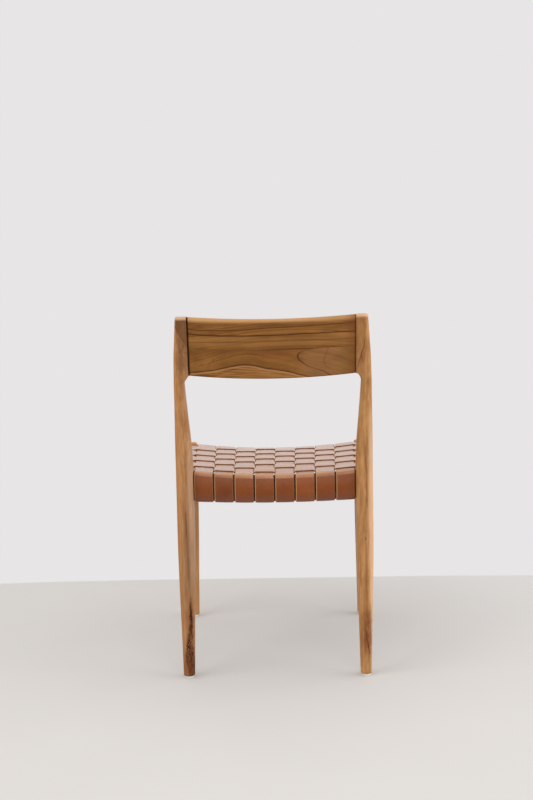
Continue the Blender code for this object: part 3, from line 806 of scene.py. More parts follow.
def rear_leg_keys():
    joint_radii = (joint_radius, soft_radius, soft_radius, soft_radius)
    keys = []
    for (height_share, growth), lean in zip(leg_growth_shares, foot_lean_shares):
        inner = rear_inner + rear_foot_splay * (1 - growth)
        outer = inner + mix(foot_size, rear_leg_width, growth)
        back = rear_leg_back_y + rear_foot_rake * lean
        front = back - mix(foot_size, rear_leg_depth, growth)
        z = mix(foot_z, rail_bottom, height_share)
        keys.append((z, inner, outer, front, back, *foot_radii(joint_radii, growth)))
    keys.append((rail_top, rear_inner, rear_outer, rear_leg_front_y, rear_leg_back_y, *joint_radii))
    for height_share, narrowing in stile_narrowing_shares:
        z = mix(rail_top, neck_z, height_share)
        outer = rear_outer - neck_inset * narrowing
        inner = outer - mix(rear_leg_width, neck_width, narrowing)
        back = rear_leg_back_y + stile_rake(z)
        inner_radius = mix(soft_radius, soft_radius / 2, narrowing)
        keys.append((z, inner, outer, back - stile_depth(z), back,
                     inner_radius, soft_radius, soft_radius, inner_radius))
    return keys


def stile_top_keys():
    inner = rear_inner - board_end_grip
    neck_outer = rear_outer - neck_inset
    top_outer = inner + stile_top_width
    outer_radius = soft_radius * stile_top_width / rear_leg_width
    radii = (joint_radius, outer_radius, outer_radius, joint_radius)
    places = [(board_bottom, bracket_rise / (overall_height - neck_z))]
    places += [(mix(board_bottom, stile_side_z, share), lean) for share, lean in stile_outer_shares]
    places.append((stile_side_z, 1))
    keys = []
    for z, lean in places:
        back = rear_leg_back_y + stile_rake(z)
        keys.append((z, inner, mix(neck_outer, top_outer, lean), back - stile_depth(z), back, *radii))
    return keys


def heights(low, high, step):
    count = max(1, round((high - low) / step))
    return [mix(low, high, i / count) for i in range(count + 1)]


def end_rings(side, level, side_z, end_z, radius):
    """Rings that round over the end of a leg."""
    rings = []
    for step in range(1, edge_steps + 1):
        angle = step / edge_steps * math.pi / 2
        inset = radius * (1 - math.cos(angle))
        rings.append(leg_ring(side, level, mix(side_z, end_z, math.sin(angle)), inset))
    return rings


def foot_rings(side, section):
    return end_rings(side, section(foot_side_z), foot_side_z, foot_z, foot_edge_radius)[::-1]


def shoulder_rings(side, label, below, above):
    """The leg's inner side swells out below the back board, in a hollow curve."""
    hollow = shoulder_hollow_shares[label]
    rings = []
    for step in range(1, shoulder_steps):
        turn = math.sin(step / shoulder_steps * math.pi / 2)
        z = mix(neck_z, board_bottom, turn)
        swell = mix(turn, 1 - math.sqrt(1 - turn * turn), hollow)
        level = [mix(a, b, turn) for a, b in zip(below(neck_z), above(board_bottom))]
        level[0] = mix(below(neck_z)[0], above(board_bottom)[0], swell)
        rings.append(leg_ring(side, leaned(level, z), z))
    return rings


def rear_leg_rings(side, label):
    below = leg_section(rear_leg_keys())
    above = leg_section(stile_top_keys())
    rings = foot_rings(side, below)
    for z in heights(foot_side_z, neck_z, leg_step):
        level = leaned(below(z), z) if z > rail_top else below(z)
        rings.append(leg_ring(side, level, z))
    rings += shoulder_rings(side, label, below, above)
    rings += [leg_ring(side, leaned(above(z), z), z) for z in heights(board_bottom, stile_side_z, top_step)]
    return rings + end_rings(side, above(stile_side_z), stile_side_z, overall_height, top_edge_radius)


def front_leg_rings(side):
    joint_radii = (soft_radius, soft_radius, joint_radius, joint_radius)
    leg_width = half_width - front_inner
    leg_depth = front_leg_back_y - front_leg_front_y
    keys = []
    for height_share, growth in leg_growth_shares:
        inner = front_inner + front_foot_splay * (1 - growth)
        front = front_leg_front_y + front_foot_rake * (1 - growth)
        keys.append((mix(foot_z, rail_bottom, height_share), inner, inner + mix(foot_size, leg_width, growth),
                     front, front + mix(foot_size, leg_depth, growth), *foot_radii(joint_radii, growth)))
    top_side_z = front_leg_top - top_edge_radius
    keys.append((top_side_z, front_inner, half_width, front_leg_front_y, front_leg_back_y, *joint_radii))
    section = leg_section(keys)
    rings = foot_rings(side, section)
    rings += [leg_ring(side, section(z), z) for z in heights(foot_side_z, top_side_z, leg_step)]
    return rings + end_rings(side, section(top_side_z), top_side_z, front_leg_top, top_edge_radius)


# Seat rails

def rear_rail_faces(x):
    """Front face, back face, bottom and top of the rear rail at x."""
    rise = bowl(x, rear_inner)
    back = rear_rail_back_y + rear_rail_bow * rise
    return back - rail_thickness, back, rail_bottom - rear_rail_belly * rise, rail_top - rear_rail_dip * rise


def front_rail_faces(x):
    top = rail_top + seat_rise - front_rail_dip * bowl(x, front_inner)
    return front_rail_front_y, front_rail_back_y, rail_bottom, top


def side_rail_share(y):
    return (rear_leg_front_y - y) / (rear_leg_front_y - front_leg_back_y)


def side_rail_faces(y):
    """Inner face, outer face, bottom and top of a side rail at y."""
    share = side_rail_share(y)
    outer = mix(side_rail_outer_rear, side_rail_outer_front, share)
    return outer - rail_thickness, outer, rail_bottom, rail_top + seat_rise * share


def mirrored_faces(faces):
    return -faces[1], -faces[0], faces[2], faces[3]


def rail_outline(faces, lift=0):
    """Points round a rail's section, or round a strap's path lift away from it."""
    low_face, high_face, bottom, top = faces
    radii = [rail_radius + lift] * 4
    low = (low_face - lift, bottom - lift)
    high = (high_face + lift, top + lift)
    return rounded_outline(low, high, radii, rail_corner_steps)


def tenon_outline(middle, lift=0):
    middle_z = (rail_top + rail_bottom) / 2
    low = (middle - tenon_thickness / 2 - lift, middle_z - tenon_height / 2 - lift)
    high = (middle + tenon_thickness / 2 + lift, middle_z + tenon_height / 2 + lift)
    return rounded_outline(low, high, [tenon_radius + lift] * 4, rail_corner_steps)


def cross_tenon(faces_at, inner_half, lift=0):
    faces = faces_at(inner_half)
    return tenon_outline((faces[0] + faces[1]) / 2, lift)


def side_tenon(y, lift=0):
    inner, outer, _, _ = side_rail_faces(y)
    return tenon_outline((inner + outer) / 2, lift)


def rail_sections(start, end, tenon_reach, tenons, faces_at):
    """A rail's outlines from the tip of one tenon to the tip of the other, each with its place."""
    start_tenon, end_tenon = tenons
    reach = math.copysign(tenon_reach, end - start)
    places = [mix(start, end, i / rail_spans) for i in range(rail_spans + 1)]
    body = [(place, rail_outline(faces_at(place))) for place in places]
    head = [(start - reach, start_tenon), (start, start_tenon)]
    return head + body + [(end, end_tenon), (end + reach, end_tenon)]


def cross_rail_rings(faces_at, inner_half):
    shoulder = inner_half - fit_gap
    tenon = cross_tenon(faces_at, inner_half)
    sections = rail_sections(-shoulder, shoulder, tenon_length, (tenon, tenon), faces_at)
    return [[(x, y, z) for y, z in outline] for x, outline in sections]


def side_rail_rings(side):
    tenons = side_tenon(rear_leg_front_y), side_tenon(front_leg_back_y)
    ends = rear_leg_front_y - fit_gap, front_leg_back_y + fit_gap
    sections = rail_sections(*ends, side_tenon_length, tenons, side_rail_faces)
    return [[(side * x, y, z) for x, z in outline] for y, outline in sections]


def cross_mortise(side, faces_at, inner_half):
    outline = cross_tenon(faces_at, inner_half, fit_gap)
    ends = (inner_half - cut_overrun, inner_half + tenon_length + fit_gap)
    return loft_mesh([[(side * x, y, z) for y, z in outline] for x in ends])


def side_mortise(side, face_y, into_leg):
    outline = side_tenon(face_y, fit_gap)
    ends = (face_y - into_leg * cut_overrun, face_y + into_leg * (side_tenon_length + fit_gap))
    return loft_mesh([[(side * x, y, z) for x, z in outline] for y in ends])


def nail_hole(end, label):
    middle = box_middle("foot_glide_%s_%s" % (end, label))
    return round_bar((middle.x, middle.y, foot_z - cut_overrun), (middle.x, middle.y, foot_z + nail_in_leg),
                     nail_hole_radius)


# Back board

def board_lean(z):
    low = stile_rake(board_bottom) - stile_depth(board_bottom) / 2
    high = stile_rake(board_top) - stile_depth(board_top) / 2
    return mix(low, high, (z - board_bottom) / board_height)


def board_slope(x):
    return 2 * board_bow * x / board_end ** 2


def board_middle_y(x, z):
    return rear_leg_back_y + board_lean(z) + board_bow * bowl(x, board_end)


def plank_heights(plank):
    seam = board_bottom + board_height * lower_plank_share
    if plank == "lower":
        return board_bottom, seam - seam_gap / 2
    return seam + seam_gap / 2, board_top


def plank_rings(plank):
    bottom, top = plank_heights(plank)
    if plank == "lower":
        radii = (board_bottom_radius, board_bottom_radius, seam_radius, seam_radius)
    else:
        radii = (seam_radius, seam_radius, board_top_radius, board_top_radius)
    rings = []
    for i in range(board_spans + 1):
        x = mix(-board_end, board_end, i / board_spans)
        half = board_thickness / 2 * math.sqrt(1 + board_slope(x) ** 2)
        drop = board_dip * bowl(x, board_end)
        outline = rounded_outline((-half, bottom), (half, top), radii, corner_steps)
        rings.append([(x, board_middle_y(x, z) + y, z - drop) for y, z in outline])
    return rings


def dowel_hole(side, label, plank, into):
    middle = box_middle("back_dowel_%s_%s" % (plank, label))
    stile = rear_inner - board_end_grip
    if into == "leg":
        start, end = board_end - cut_overrun, stile + dowel_in_leg + fit_gap
    else:
        start, end = board_end - dowel_in_board - fit_gap, board_end + cut_overrun
    ends = [(side * x, middle.y, middle.z) for x in (start, end)]
    return round_bar(*ends, dowel_radius + fit_gap)


# Woven seat

def weave_share(y):
    """0 at the rear rail and 1 at the front rail."""
    return clamp((weave_rear_y - y) / (weave_rear_y - weave_front_y))


def weave_z(x, y):
    """Height of the middle of the weave, before a strap goes over or under another."""
    share = weave_share(y)
    inside = 1 - (2 * share - 1) ** 4
    rear_middle = rail_top - rear_rail_dip
    front_middle = rail_top + seat_rise - front_rail_dip
    middle = mix(rear_middle, front_middle, share) + weave_crown * inside
    edge = rail_top + seat_rise * share
    turn = min(1, (x / mix(rear_inner, front_inner, share)) ** 2)
    return mix(middle, edge, mix(turn, turn ** 2, inside)) + strap_lift


def strap_sizes(room, count):
    """The pitch of the straps that share some room, and a strap's width."""
    pitch = (room + strap_gap) / count
    return pitch, pitch - strap_gap


def column_sizes(inner_half):
    return strap_sizes(2 * (inner_half - column_leg_clearance), long_strap_count)


def column_x(inner_half, column, offset):
    """A place in a long strap: offset is in its width, from -0.5 to 0.5, or in its pitch past the edge."""
    pitch, width = column_sizes(inner_half)
    return (column - (long_strap_count - 1) / 2) * pitch + offset * width


def column_place(column, offset, y):
    return mix(column_x(rear_inner, column, offset), column_x(front_inner, column, offset), weave_share(y))


def row_sizes():
    return strap_sizes(rear_leg_front_y - front_leg_back_y - 2 * row_leg_clearance, cross_strap_count)


def row_flat_y(row, offset):
    """A place in a cross strap where it leaves the side rails: offset is in its width."""
    pitch, width = row_sizes()
    return rear_leg_front_y - row_leg_clearance - width / 2 - row * pitch - offset * width


def seat_place(column, column_offset, row, row_offset):
    """Where a place in a long strap meets a place in a cross strap."""
    flat = row_flat_y(row, row_offset)
    bow = row_bow * (1 - (row + row_offset) / (cross_strap_count - 1))
    half = mix(rear_inner, front_inner, side_rail_share(flat))
    y = flat + bow * bowl(column_place(column, column_offset, flat), half)
    return column_place(column, column_offset, y), y


def long_side(column, row):
    """1 where a long strap lies on top of a cross strap, and -1 where it lies below it."""
    return 1 if (column + row) % 2 else -1


def weave_wave(offset, sizes, wave):
    """How far a strap lies above the middle of the weave, offset widths from a crossing's centre.

    The long straps are taut and lie nearly flat. The cross straps go over and under them.
    """
    pitch, width = sizes
    swing, grip = wave
    turn = offset * width / pitch
    return swing * math.tanh(grip * math.cos(math.pi * turn)) / math.tanh(grip)


def crossing_offsets(pitch, width):
    """Stations along a strap through one crossing, close together near the gaps, in strap widths."""
    half = pitch / width / 2
    return [half * math.sin(i / crossing_steps * math.pi / 2) for i in range(-crossing_steps, crossing_steps)]


def eased_end(start, end, rise, steepness):
    """Points from a rail's top to the first crossing, where the strap lies rise above the weave's middle."""
    points = []
    for step in range(1, end_steps):
        t = step / end_steps
        x, y = mix(start[0], end[0], t), mix(start[1], end[1], t)
        points.append((x, y, weave_z(x, y) + hermite(t, 0, rise, 0, steepness)))
    return points


def between(a, b, count):
    return [tuple(mix(p, q, (i + 1) / (count + 1)) for p, q in zip(a, b)) for i in range(count)]


def wrap_points(outline):
    """A strap's path round a rail: from its tail inside, under the rail and up to the top flat."""
    corner = rail_corner_steps + 1
    under_inner, under_outer = outline[:corner], outline[corner:2 * corner]
    over_outer, over_inner = outline[2 * corner:3 * corner], outline[3 * corner]
    tail = (under_inner[0][0], under_inner[0][1] + strap_tail)
    points = [tail] + between(tail, under_inner[0], tail_steps) + under_inner
    points += between(under_inner[-1], under_outer[0], flat_steps) + under_outer
    face = between(under_outer[-1], over_outer[0], face_steps)
    for step, (out, up) in enumerate(face, start=1):
        points.append((out + strap_bulge * math.sin(math.pi * step / (face_steps + 1)), up))
    return points + over_outer + between(over_outer[-1], over_inner, flat_steps) + [over_inner]


def woven_line(places, side_at, sizes, wave, wraps):
    """One line along a strap: a wrap, an eased end, the crossings, an eased end and a wrap.

    places gives (x, y) for (crossing, offset). side_at gives 1 where the strap lies on top, or else -1.
    """
    pitch, width, count = sizes
    start_wrap, end_wrap = wraps
    last = count - 1
    stations = [(0, -0.5)]
    for crossing in range(count):
        for offset in crossing_offsets(pitch, width):
            before = crossing == 0 and offset <= -0.5
            beyond = crossing == last and offset >= 0.5
            if not before and not beyond:
                stations.append((crossing, offset))
    stations.append((last, 0.5))
    woven = []
    for crossing, offset in stations:
        x, y = places(crossing, offset)
        rise = side_at(crossing) * weave_wave(offset, (pitch, width), wave)
        woven.append((x, y, weave_z(x, y) + rise))
    edge_rise = weave_wave(0.5, (pitch, width), wave)
    steepness = (weave_wave(0.5 - edge_nudge_share, (pitch, width), wave) - edge_rise) / edge_nudge_share
    ends = []
    for wrap, first, side in ((start_wrap, woven[0], side_at(0)), (end_wrap, woven[-1], side_at(last))):
        reach = math.dist(wrap[-1][:2], first[:2]) / width
        ends.append(eased_end(wrap[-1], first, side * edge_rise, side * steepness * reach))
    return start_wrap + ends[0] + woven + ends[1][::-1] + end_wrap[::-1]


def long_strap_line(column, offset):
    rear_x = column_x(rear_inner, column, offset)
    front_x = column_x(front_inner, column, offset)
    rear_outline = rail_outline(rear_rail_faces(rear_x), strap_lift)
    front_outline = rail_outline(mirrored_faces(front_rail_faces(front_x)), strap_lift)
    rear_wrap = [(rear_x, y, z) for y, z in wrap_points(rear_outline)]
    front_wrap = [(front_x, -y, z) for y, z in wrap_points(front_outline)]
    return woven_line(lambda row, row_offset: seat_place(column, offset, row, row_offset),
                      lambda row: long_side(column, row), (*row_sizes(), cross_strap_count),
                      (long_strap_swing, long_strap_grip), (rear_wrap, front_wrap))


def cross_strap_line(row, offset):
    """Runs from right to left, so its offset is counted the other way round."""
    y = row_flat_y(row, -offset)
    outline = rail_outline(side_rail_faces(y), strap_lift)
    wraps = [[(side * x, y, z) for x, z in wrap_points(outline)] for side in (-1, 1)]
    sizes = (*column_sizes(mix(rear_inner, front_inner, side_rail_share(y))), long_strap_count)
    return woven_line(lambda column, column_offset: seat_place(column, column_offset, row, -offset),
                      lambda column: -long_side(column, row), sizes,
                      (cross_strap_swing, cross_strap_grip), wraps)


def strap_profile():
    """The strap's outline as (line, inward, height) from one of the lines along it, round both edges."""
    half = strap_thickness / 2
    straight = half - strap_edge_radius
    arc = []
    for sign in (-1, 1):
        for step in range(edge_arc_steps + 1):
            share = step / edge_arc_steps if sign > 0 else 1 - step / edge_arc_steps
            angle = share * math.pi / 2
            arc.append((strap_edge_radius * (1 - math.cos(angle)),
                        sign * (straight + strap_edge_radius * math.sin(angle))))
    last = len(across_shares) - 1
    inner = range(1, last)
    near_edge = [(0, inward, height) for inward, height in arc]
    far_edge = [(last, inward, height) for inward, height in reversed(arc)]
    return near_edge + [(j, 0, half) for j in inner] + far_edge + [(j, 0, -half) for j in reversed(inner)]


def line_bend(line, i):
    """How sharply a line turns at a station: 1 where it goes round a rail's corner."""
    if i in (0, len(line) - 1):
        return 0
    before, after = line[i] - line[i - 1], line[i + 1] - line[i]
    turned = before.angle(after, 0)
    return clamp(turned / ((before.length + after.length) / 2) * (rail_radius + strap_lift))


def strap_rings(lines, width, tone):
    """Rings round a strap, and for each of their points the marks that the leather reads."""
    profile = strap_profile()
    last = len(lines) - 1
    half = strap_thickness / 2
    count = len(lines[0])
    rings, marks = [], []
    along = 0
    for i in range(count):
        here = [line[i] for line in lines]
        ahead = [line[min(count - 1, i + 1)] - line[max(0, i - 1)] for line in lines]
        ups = []
        for j in range(last + 1):
            across = here[min(last, j + 1)] - here[max(0, j - 1)]
            ups.append(ahead[j].cross(across).normalized())
        inwards = {0: (here[1] - here[0]).normalized(), last: (here[last - 1] - here[last]).normalized()}
        middle = last // 2
        along += (lines[middle][i] - lines[middle][max(0, i - 1)]).length
        bend = line_bend(lines[middle], i)
        ring = []
        for j, inward, height in profile:
            share = across_shares[j]
            crown = strap_crown * (bowl(share - 0.5, 0.5) - 0.5)
            point = here[j] + ups[j] * (height + crown)
            rim = width * min(share, 1 - share)
            if j in inwards:
                point += inwards[j] * inward
                rim = inward
            ring.append(point)
            marks.append((height / half, rim, along, share, bend, tone))
        rings.append(ring)
    return rings, marks


def make_strap(node, lines, width, tone, material):
    """A strap through its lines, with the marks that its leather reads."""
    rings, marks = strap_rings(lines, width, tone)
    piece = piece_from("woven_" + node, loft_mesh(rings), material, node)
    for k, mark in enumerate(strap_marks):
        layer = piece.data.attributes.new(mark, "FLOAT", "POINT")
        layer.data.foreach_set("value", [values[k] for values in marks])
    shade(piece)


def make_straps(long_leather, cross_leather):
    dice = random.Random(strap_seed)
    kinds = (("long_strap_%d", long_strap_count, long_strap_line, column_sizes(rear_inner), long_leather),
             ("cross_strap_%d", cross_strap_count, cross_strap_line, row_sizes(), cross_leather))
    for label, count, line_at, (_, width), material in kinds:
        for number in range(count):
            lines = [[Vector(point) for point in line_at(number, share - 0.5)] for share in across_shares]
            make_strap(label % (number + 1), lines, width, dice.random(), material)


# Tacks

def add_dome(bm, place, out):
    """A low domed head that stands on a face whose normal is out."""
    turn = Vector(out).to_track_quat("Z", "Y").to_matrix()
    rings = []
    for level in range(dome_levels):
        angle = level / dome_levels * math.pi / 2
        radius = tack_radius * math.cos(angle)
        height = tack_rim + (tack_height - tack_rim) * math.sin(angle)
        rings.append((radius, height))
    rings.insert(0, (tack_radius, 0))
    turns = [k / dome_segments * math.tau for k in range(dome_segments)]
    levels = []
    for radius, height in rings:
        points = [Vector((radius * math.cos(angle), radius * math.sin(angle), height)) for angle in turns]
        levels.append([bm.verts.new(Vector(place) + turn @ point) for point in points])
    tip = bm.verts.new(Vector(place) + turn @ Vector((0, 0, tack_height)))
    add_bands(bm, levels)
    for k, vertex in enumerate(levels[-1]):
        bm.faces.new((vertex, levels[-1][(k + 1) % dome_segments], tip))
    bm.faces.new(levels[0][::-1])


def make_tacks(material):
    """Rows of tacks through the straps' tails, one piece for each rail."""
    sink = fit_gap + strap_thickness + strap_crown / 2
    tack_z = rail_bottom + rail_radius + strap_tail - tack_drop
    rows = {"rear": [], "front": [], "left": [], "right": []}
    for column in range(long_strap_count):
        for share in tack_shares:
            rear_x = column_x(rear_inner, column, share - 0.5)
            front_x = column_x(front_inner, column, share - 0.5)
            rear_z = tack_z - rear_rail_belly * bowl(rear_x, rear_inner)
            rows["rear"].append(((rear_x, rear_rail_faces(rear_x)[0] - sink, rear_z), (0, -1, 0)))
            rows["front"].append(((front_x, front_rail_back_y + sink, tack_z), (0, 1, 0)))
    for row in range(cross_strap_count):
        for share in tack_shares:
            y = row_flat_y(row, share - 0.5)
            inner = side_rail_faces(y)[0] - sink
            for side, label in sides:
                rows[label].append(((side * inner, y, tack_z), (-side, 0, 0)))
    for label, places in rows.items():
        bm = bmesh.new()
        for place, out in places:
            add_dome(bm, place, out)
        shade(piece_from("strap_tacks_" + label, bm, material, None))


# Foot glides

def glide_profile():
    """The glide's outline from its pocket's floor out to its rim and in to the middle of its sole."""
    top = glide_high.z
    points = [(0, glide_pocket_floor), (glide_pocket_radius, glide_pocket_floor),
              (glide_pocket_radius, glide_pocket_top), (glide_hole_radius, glide_pocket_top),
              (glide_hole_radius, top)]
    for centre_z, start, radius in ((top - glide_top_edge, 90, glide_top_edge), (glide_edge, 0, glide_edge)):
        for step in range(edge_steps + 1):
            angle = math.radians(start - step / edge_steps * 90)
            inset = radius - radius * math.cos(angle)
            points.append((glide_radius - inset, centre_z + radius * math.sin(angle)))
    points += [(glide_sole_radius, 0), (glide_sole_radius - glide_sole_depth, glide_sole_depth),
               (0, glide_sole_depth)]
    return points


def make_glide(end, label, material):
    node = "foot_glide_%s_%s" % (end, label)
    middle = box_middle(node)
    bm = bmesh.new()
    profile = [bm.verts.new((radius, 0, z)) for radius, z in glide_profile()]
    edges = [bm.edges.new(pair) for pair in zip(profile, profile[1:])]
    bmesh.ops.spin(bm, geom=profile + edges, cent=(0, 0, 0), axis=(0, 0, 1), angle=math.tau,
                   steps=turned_steps, use_merge=True)
    bmesh.ops.remove_doubles(bm, verts=bm.verts, dist=merge_distance)
    bmesh.ops.translate(bm, verts=bm.verts, vec=(middle.x, middle.y, 0))
    shade(piece_from("nylon_glide_%s_%s" % (end, label), bm, material, node))


# Finishes

class Wire:
    """A socket of a shader. Sums of wires and numbers add Math nodes."""

    def __init__(self, shader, socket):
        self.shader = shader
        self.socket = socket

    def math(self, operation, *others):
        return self.shader.node("Math", {"operation": operation}, (self, *others))

    def under(self, operation, other):
        return self.shader.node("Math", {"operation": operation}, (other, self))

    def __add__(self, other):
        return self.math("ADD", other)

    def __sub__(self, other):
        return self.math("SUBTRACT", other)

    def __mul__(self, other):
        return self.math("MULTIPLY", other)

    def __truediv__(self, other):
        return self.math("DIVIDE", other)

    def __pow__(self, other):
        return self.math("POWER", other)

    def __neg__(self):
        return self.math("MULTIPLY", -1)

    def __rsub__(self, other):
        return self.under("SUBTRACT", other)

    __radd__ = __add__
    __rmul__ = __mul__

    def out(self, name):
        """Another output of the same node."""
        return Wire(self.shader, self.socket.node.outputs[name])

    def ease(self, start, full):
        """0 at start and 1 at full, smooth between them and level beyond them."""
        return self.shader.node("MapRange", {"interpolation_type": "SMOOTHSTEP"},
                                {"Value": self, "From Min": start, "From Max": full})

    def near(self, place, half, soft):
        """1 within half of a place, and 0 beyond soft more."""
        return (self - place).math("ABSOLUTE").ease(half + soft, half)

    def bell(self, width):
        """1 at 0, falling to nothing a few widths away."""
        near = self / width
        return (-(near * near)).math("EXPONENT")

    def through(self, points):
        """A smooth curve through a few given (value, result) points."""
        ordered = sorted(points)
        lows = [min(point[k] for point in ordered) for k in (0, 1)]
        spans = [max(point[k] for point in ordered) - lows[k] for k in (0, 1)]
        lows[1] -= spans[1] * curve_margin_share
        spans[1] *= 1 + 2 * curve_margin_share
        shares = [((a - lows[0]) / spans[0], (b - lows[1]) / spans[1]) for a, b in ordered]
        value = (self - lows[0]) / spans[0]
        return self.shader.node("FloatCurve", {"points": shares}, {"Value": value}) * spans[1] + lows[1]


class Shader:
    """A node tree that is built from short calls."""

    def __init__(self, tree):
        self.tree = tree
        tree.nodes.clear()

    def node(self, kind, settings=None, inputs=(), output=0):
        """Adds a node of a type, sets it, and then fills its sockets with values or links."""
        node = self.tree.nodes.new("ShaderNode" + kind)
        for key, value in (settings or {}).items():
            if key == "stops":
                while len(node.color_ramp.elements) < len(value):
                    node.color_ramp.elements.new(1)
                for element, (place, colour) in zip(node.color_ramp.elements, value):
                    element.position = place
                    element.color = colour
            elif key == "points":
                line = node.mapping.curves[0].points
                while len(line) < len(value):
                    line.new(1, 1)
                for point, place in zip(line, value):
                    point.location = place
                node.mapping.update()
            else:
                setattr(node, key, value)
        filled = inputs.items() if isinstance(inputs, dict) else enumerate(inputs)
        for key, value in filled:
            if isinstance(value, Wire):
                self.tree.links.new(value.socket, node.inputs[key])
            else:
                node.inputs[key].default_value = value
        return Wire(self, node.outputs[output]) if node.outputs else node

    def mark(self, name):
        """A mesh attribute."""
        return self.node("Attribute", {"attribute_name": name}, output="Fac")

    def place(self):
        """The place in the chair's frame."""
        return self.node("TexCoord", output="Object")

    def axes(self, place):
        split = self.node("SeparateXYZ", {}, [place])
        return split, split.out("Y"), split.out("Z")

    def point(self, x, y, z):
        return self.node("CombineXYZ", {}, (x, y, z))

    def noise(self, place, waves, detail=2.0, roughness=0.5, distortion=0.0, shift=(0, 0, 0)):
        """Soft noise. waves says how tightly it runs, as one number or one for each axis."""
        if not isinstance(waves, tuple):
            waves = (waves, waves, waves)
        scaled = self.node("VectorMath", {"operation": "MULTIPLY_ADD"}, (place, waves, shift))
        return self.node("TexNoise", {}, {"Vector": scaled, "Scale": 1.0, "Detail": detail,
                                          "Roughness": roughness, "Distortion": distortion})

    def spots(self, place, edge, *noise, shift=(0, 0, 0)):
        """Noise with an edge: 0 where the noise is under the edge and 1 above it."""
        return self.noise(place, *noise, shift=shift).ease(*edge)

    def ramp(self, tone, stops):
        return self.node("ValToRGB", {"stops": stops}, [tone])

    def blend(self, share, a, b):
        """A colour between two, or on wires between them."""
        return self.node("Mix", {"data_type": "RGBA"}, {0: share, 6: a, 7: b}, output=2)

    def surface(self, colour, roughness, height, bump, reach, **others):
        """The Principled surface. The other values go to the sockets that they are named after."""
        inputs = {"Base Color": colour, "Roughness": roughness}
        inputs.update({key.replace("_", " "): value for key, value in others.items()})
        inputs["Normal"] = self.node("Bump", {}, {"Strength": bump, "Distance": reach, "Height": height})
        self.node("OutputMaterial", {}, {"Surface": self.node("BsdfPrincipled", {}, inputs)})


class Layers:
    """The colour of a surface while zones and marks are laid on it, the later ones over the earlier ones."""

    def __init__(self, shader, place, axes, colour):
        self.shader = shader
        self.place = place
        self.x, self.y, self.z = axes
        self.axes = {"x": self.x, "y": self.y, "z": self.z}
        self.colour = colour

    def lay(self, tint, share):
        """A colour, as strong as share says at each place."""
        self.colour = self.shader.blend(share, self.colour, tint)

    def zone(self, tint, strength, *limits, shown=1):
        """A colour where every limit holds. A limit gives an axis, where it starts and where it is full."""
        eases = [self.axes[axis].ease(start, full) for axis, start, full in limits]
        self.lay(tint, math.prod(eases, start=shown * strength))

    def vein(self, tint, distance, width, strength, shown=1):
        """A mineral line, soft at its sides."""
        self.lay(tint, distance.bell(width) * (shown * strength))

    def noise(self, *noise, shift=(0, 0, 0)):
        return self.shader.noise(self.place, *noise, shift=shift)

    def upright(self, line, ends, fade, wander):
        """How far a place lies from an upright line of (z, x) points, and how much of it shows there."""
        low, high = ends
        place = self.shader.point(self.z, self.x, wander_seed)
        uneven = self.shader.noise(place, *wander_noise) - 0.5
        shown = self.z.ease(low - fade, low + fade) * self.z.ease(high + fade, high - fade)
        return self.x - self.z.through(line) + uneven * wander, shown

    def upright_vein(self, tint, line, ends, fade, wander, width, strength):
        distance, shown = self.upright(line, ends, fade, wander)
        self.vein(tint, distance, width, strength, shown)
        return distance, shown

    def knot(self, x, z, size, strength, squeeze=1):
        """A small knot. A squeeze under 1 makes it taller than wide."""
        across, up = self.x - x, (self.z - z) * squeeze
        self.vein(charcoal, (across * across + up * up).math("SQRT"), size, strength)

    def blotches(self, seed, dark, pale):
        """Long soft blotches, darker and paler than the wood round them."""
        uneven = self.noise(*blotch_noise, shift=(seed, 0, 0))
        self.lay(dark, uneven.ease(*dark_blotch_edge) * dark_blotch_tint)
        self.lay(pale, uneven.ease(*pale_blotch_edge) * pale_blotch_tint)


def new_finish(name):
    material = bpy.data.materials.new(name)
    material.use_nodes = True
    shader = Shader(material.node_tree)
    return material, shader, shader.place()


def heart_distance(wood, side_a, side_b, along, sway):
    """How far a place lies from the heart of the tree, the middle of the growth rings."""
    (heart_a, heart_b), (tilt_a, tilt_b) = wood["heart"], wood["tilt"]
    a = side_a - heart_a - along * tilt_a + sway
    b = side_b - heart_b - along * tilt_b
    if "bend" in wood:
        b = b - along.through(wood["bend"])
    return (a * a + b * b).math("SQRT")


def tree_rings(shader, distance, spacing, seed):
    """Growth rings: late wood darkens slowly and ends at once. Also gives each ring's own shade."""
    drift = shader.noise(shader.point(distance, 0, 0), (ring_drift_share / spacing, 0, 0), shift=(0, seed, 0))
    turns = distance / spacing + drift * ring_drift
    ring = turns.math("FLOOR")
    phase = turns - ring
    year = shader.node("TexWhiteNoise", {"noise_dimensions": "1D"}, {"W": ring + seed})
    late = (phase ** late_wood_power) * phase.ease(1.0, late_wood_end)
    return late * (year * late_wood_spread + late_wood_base), year


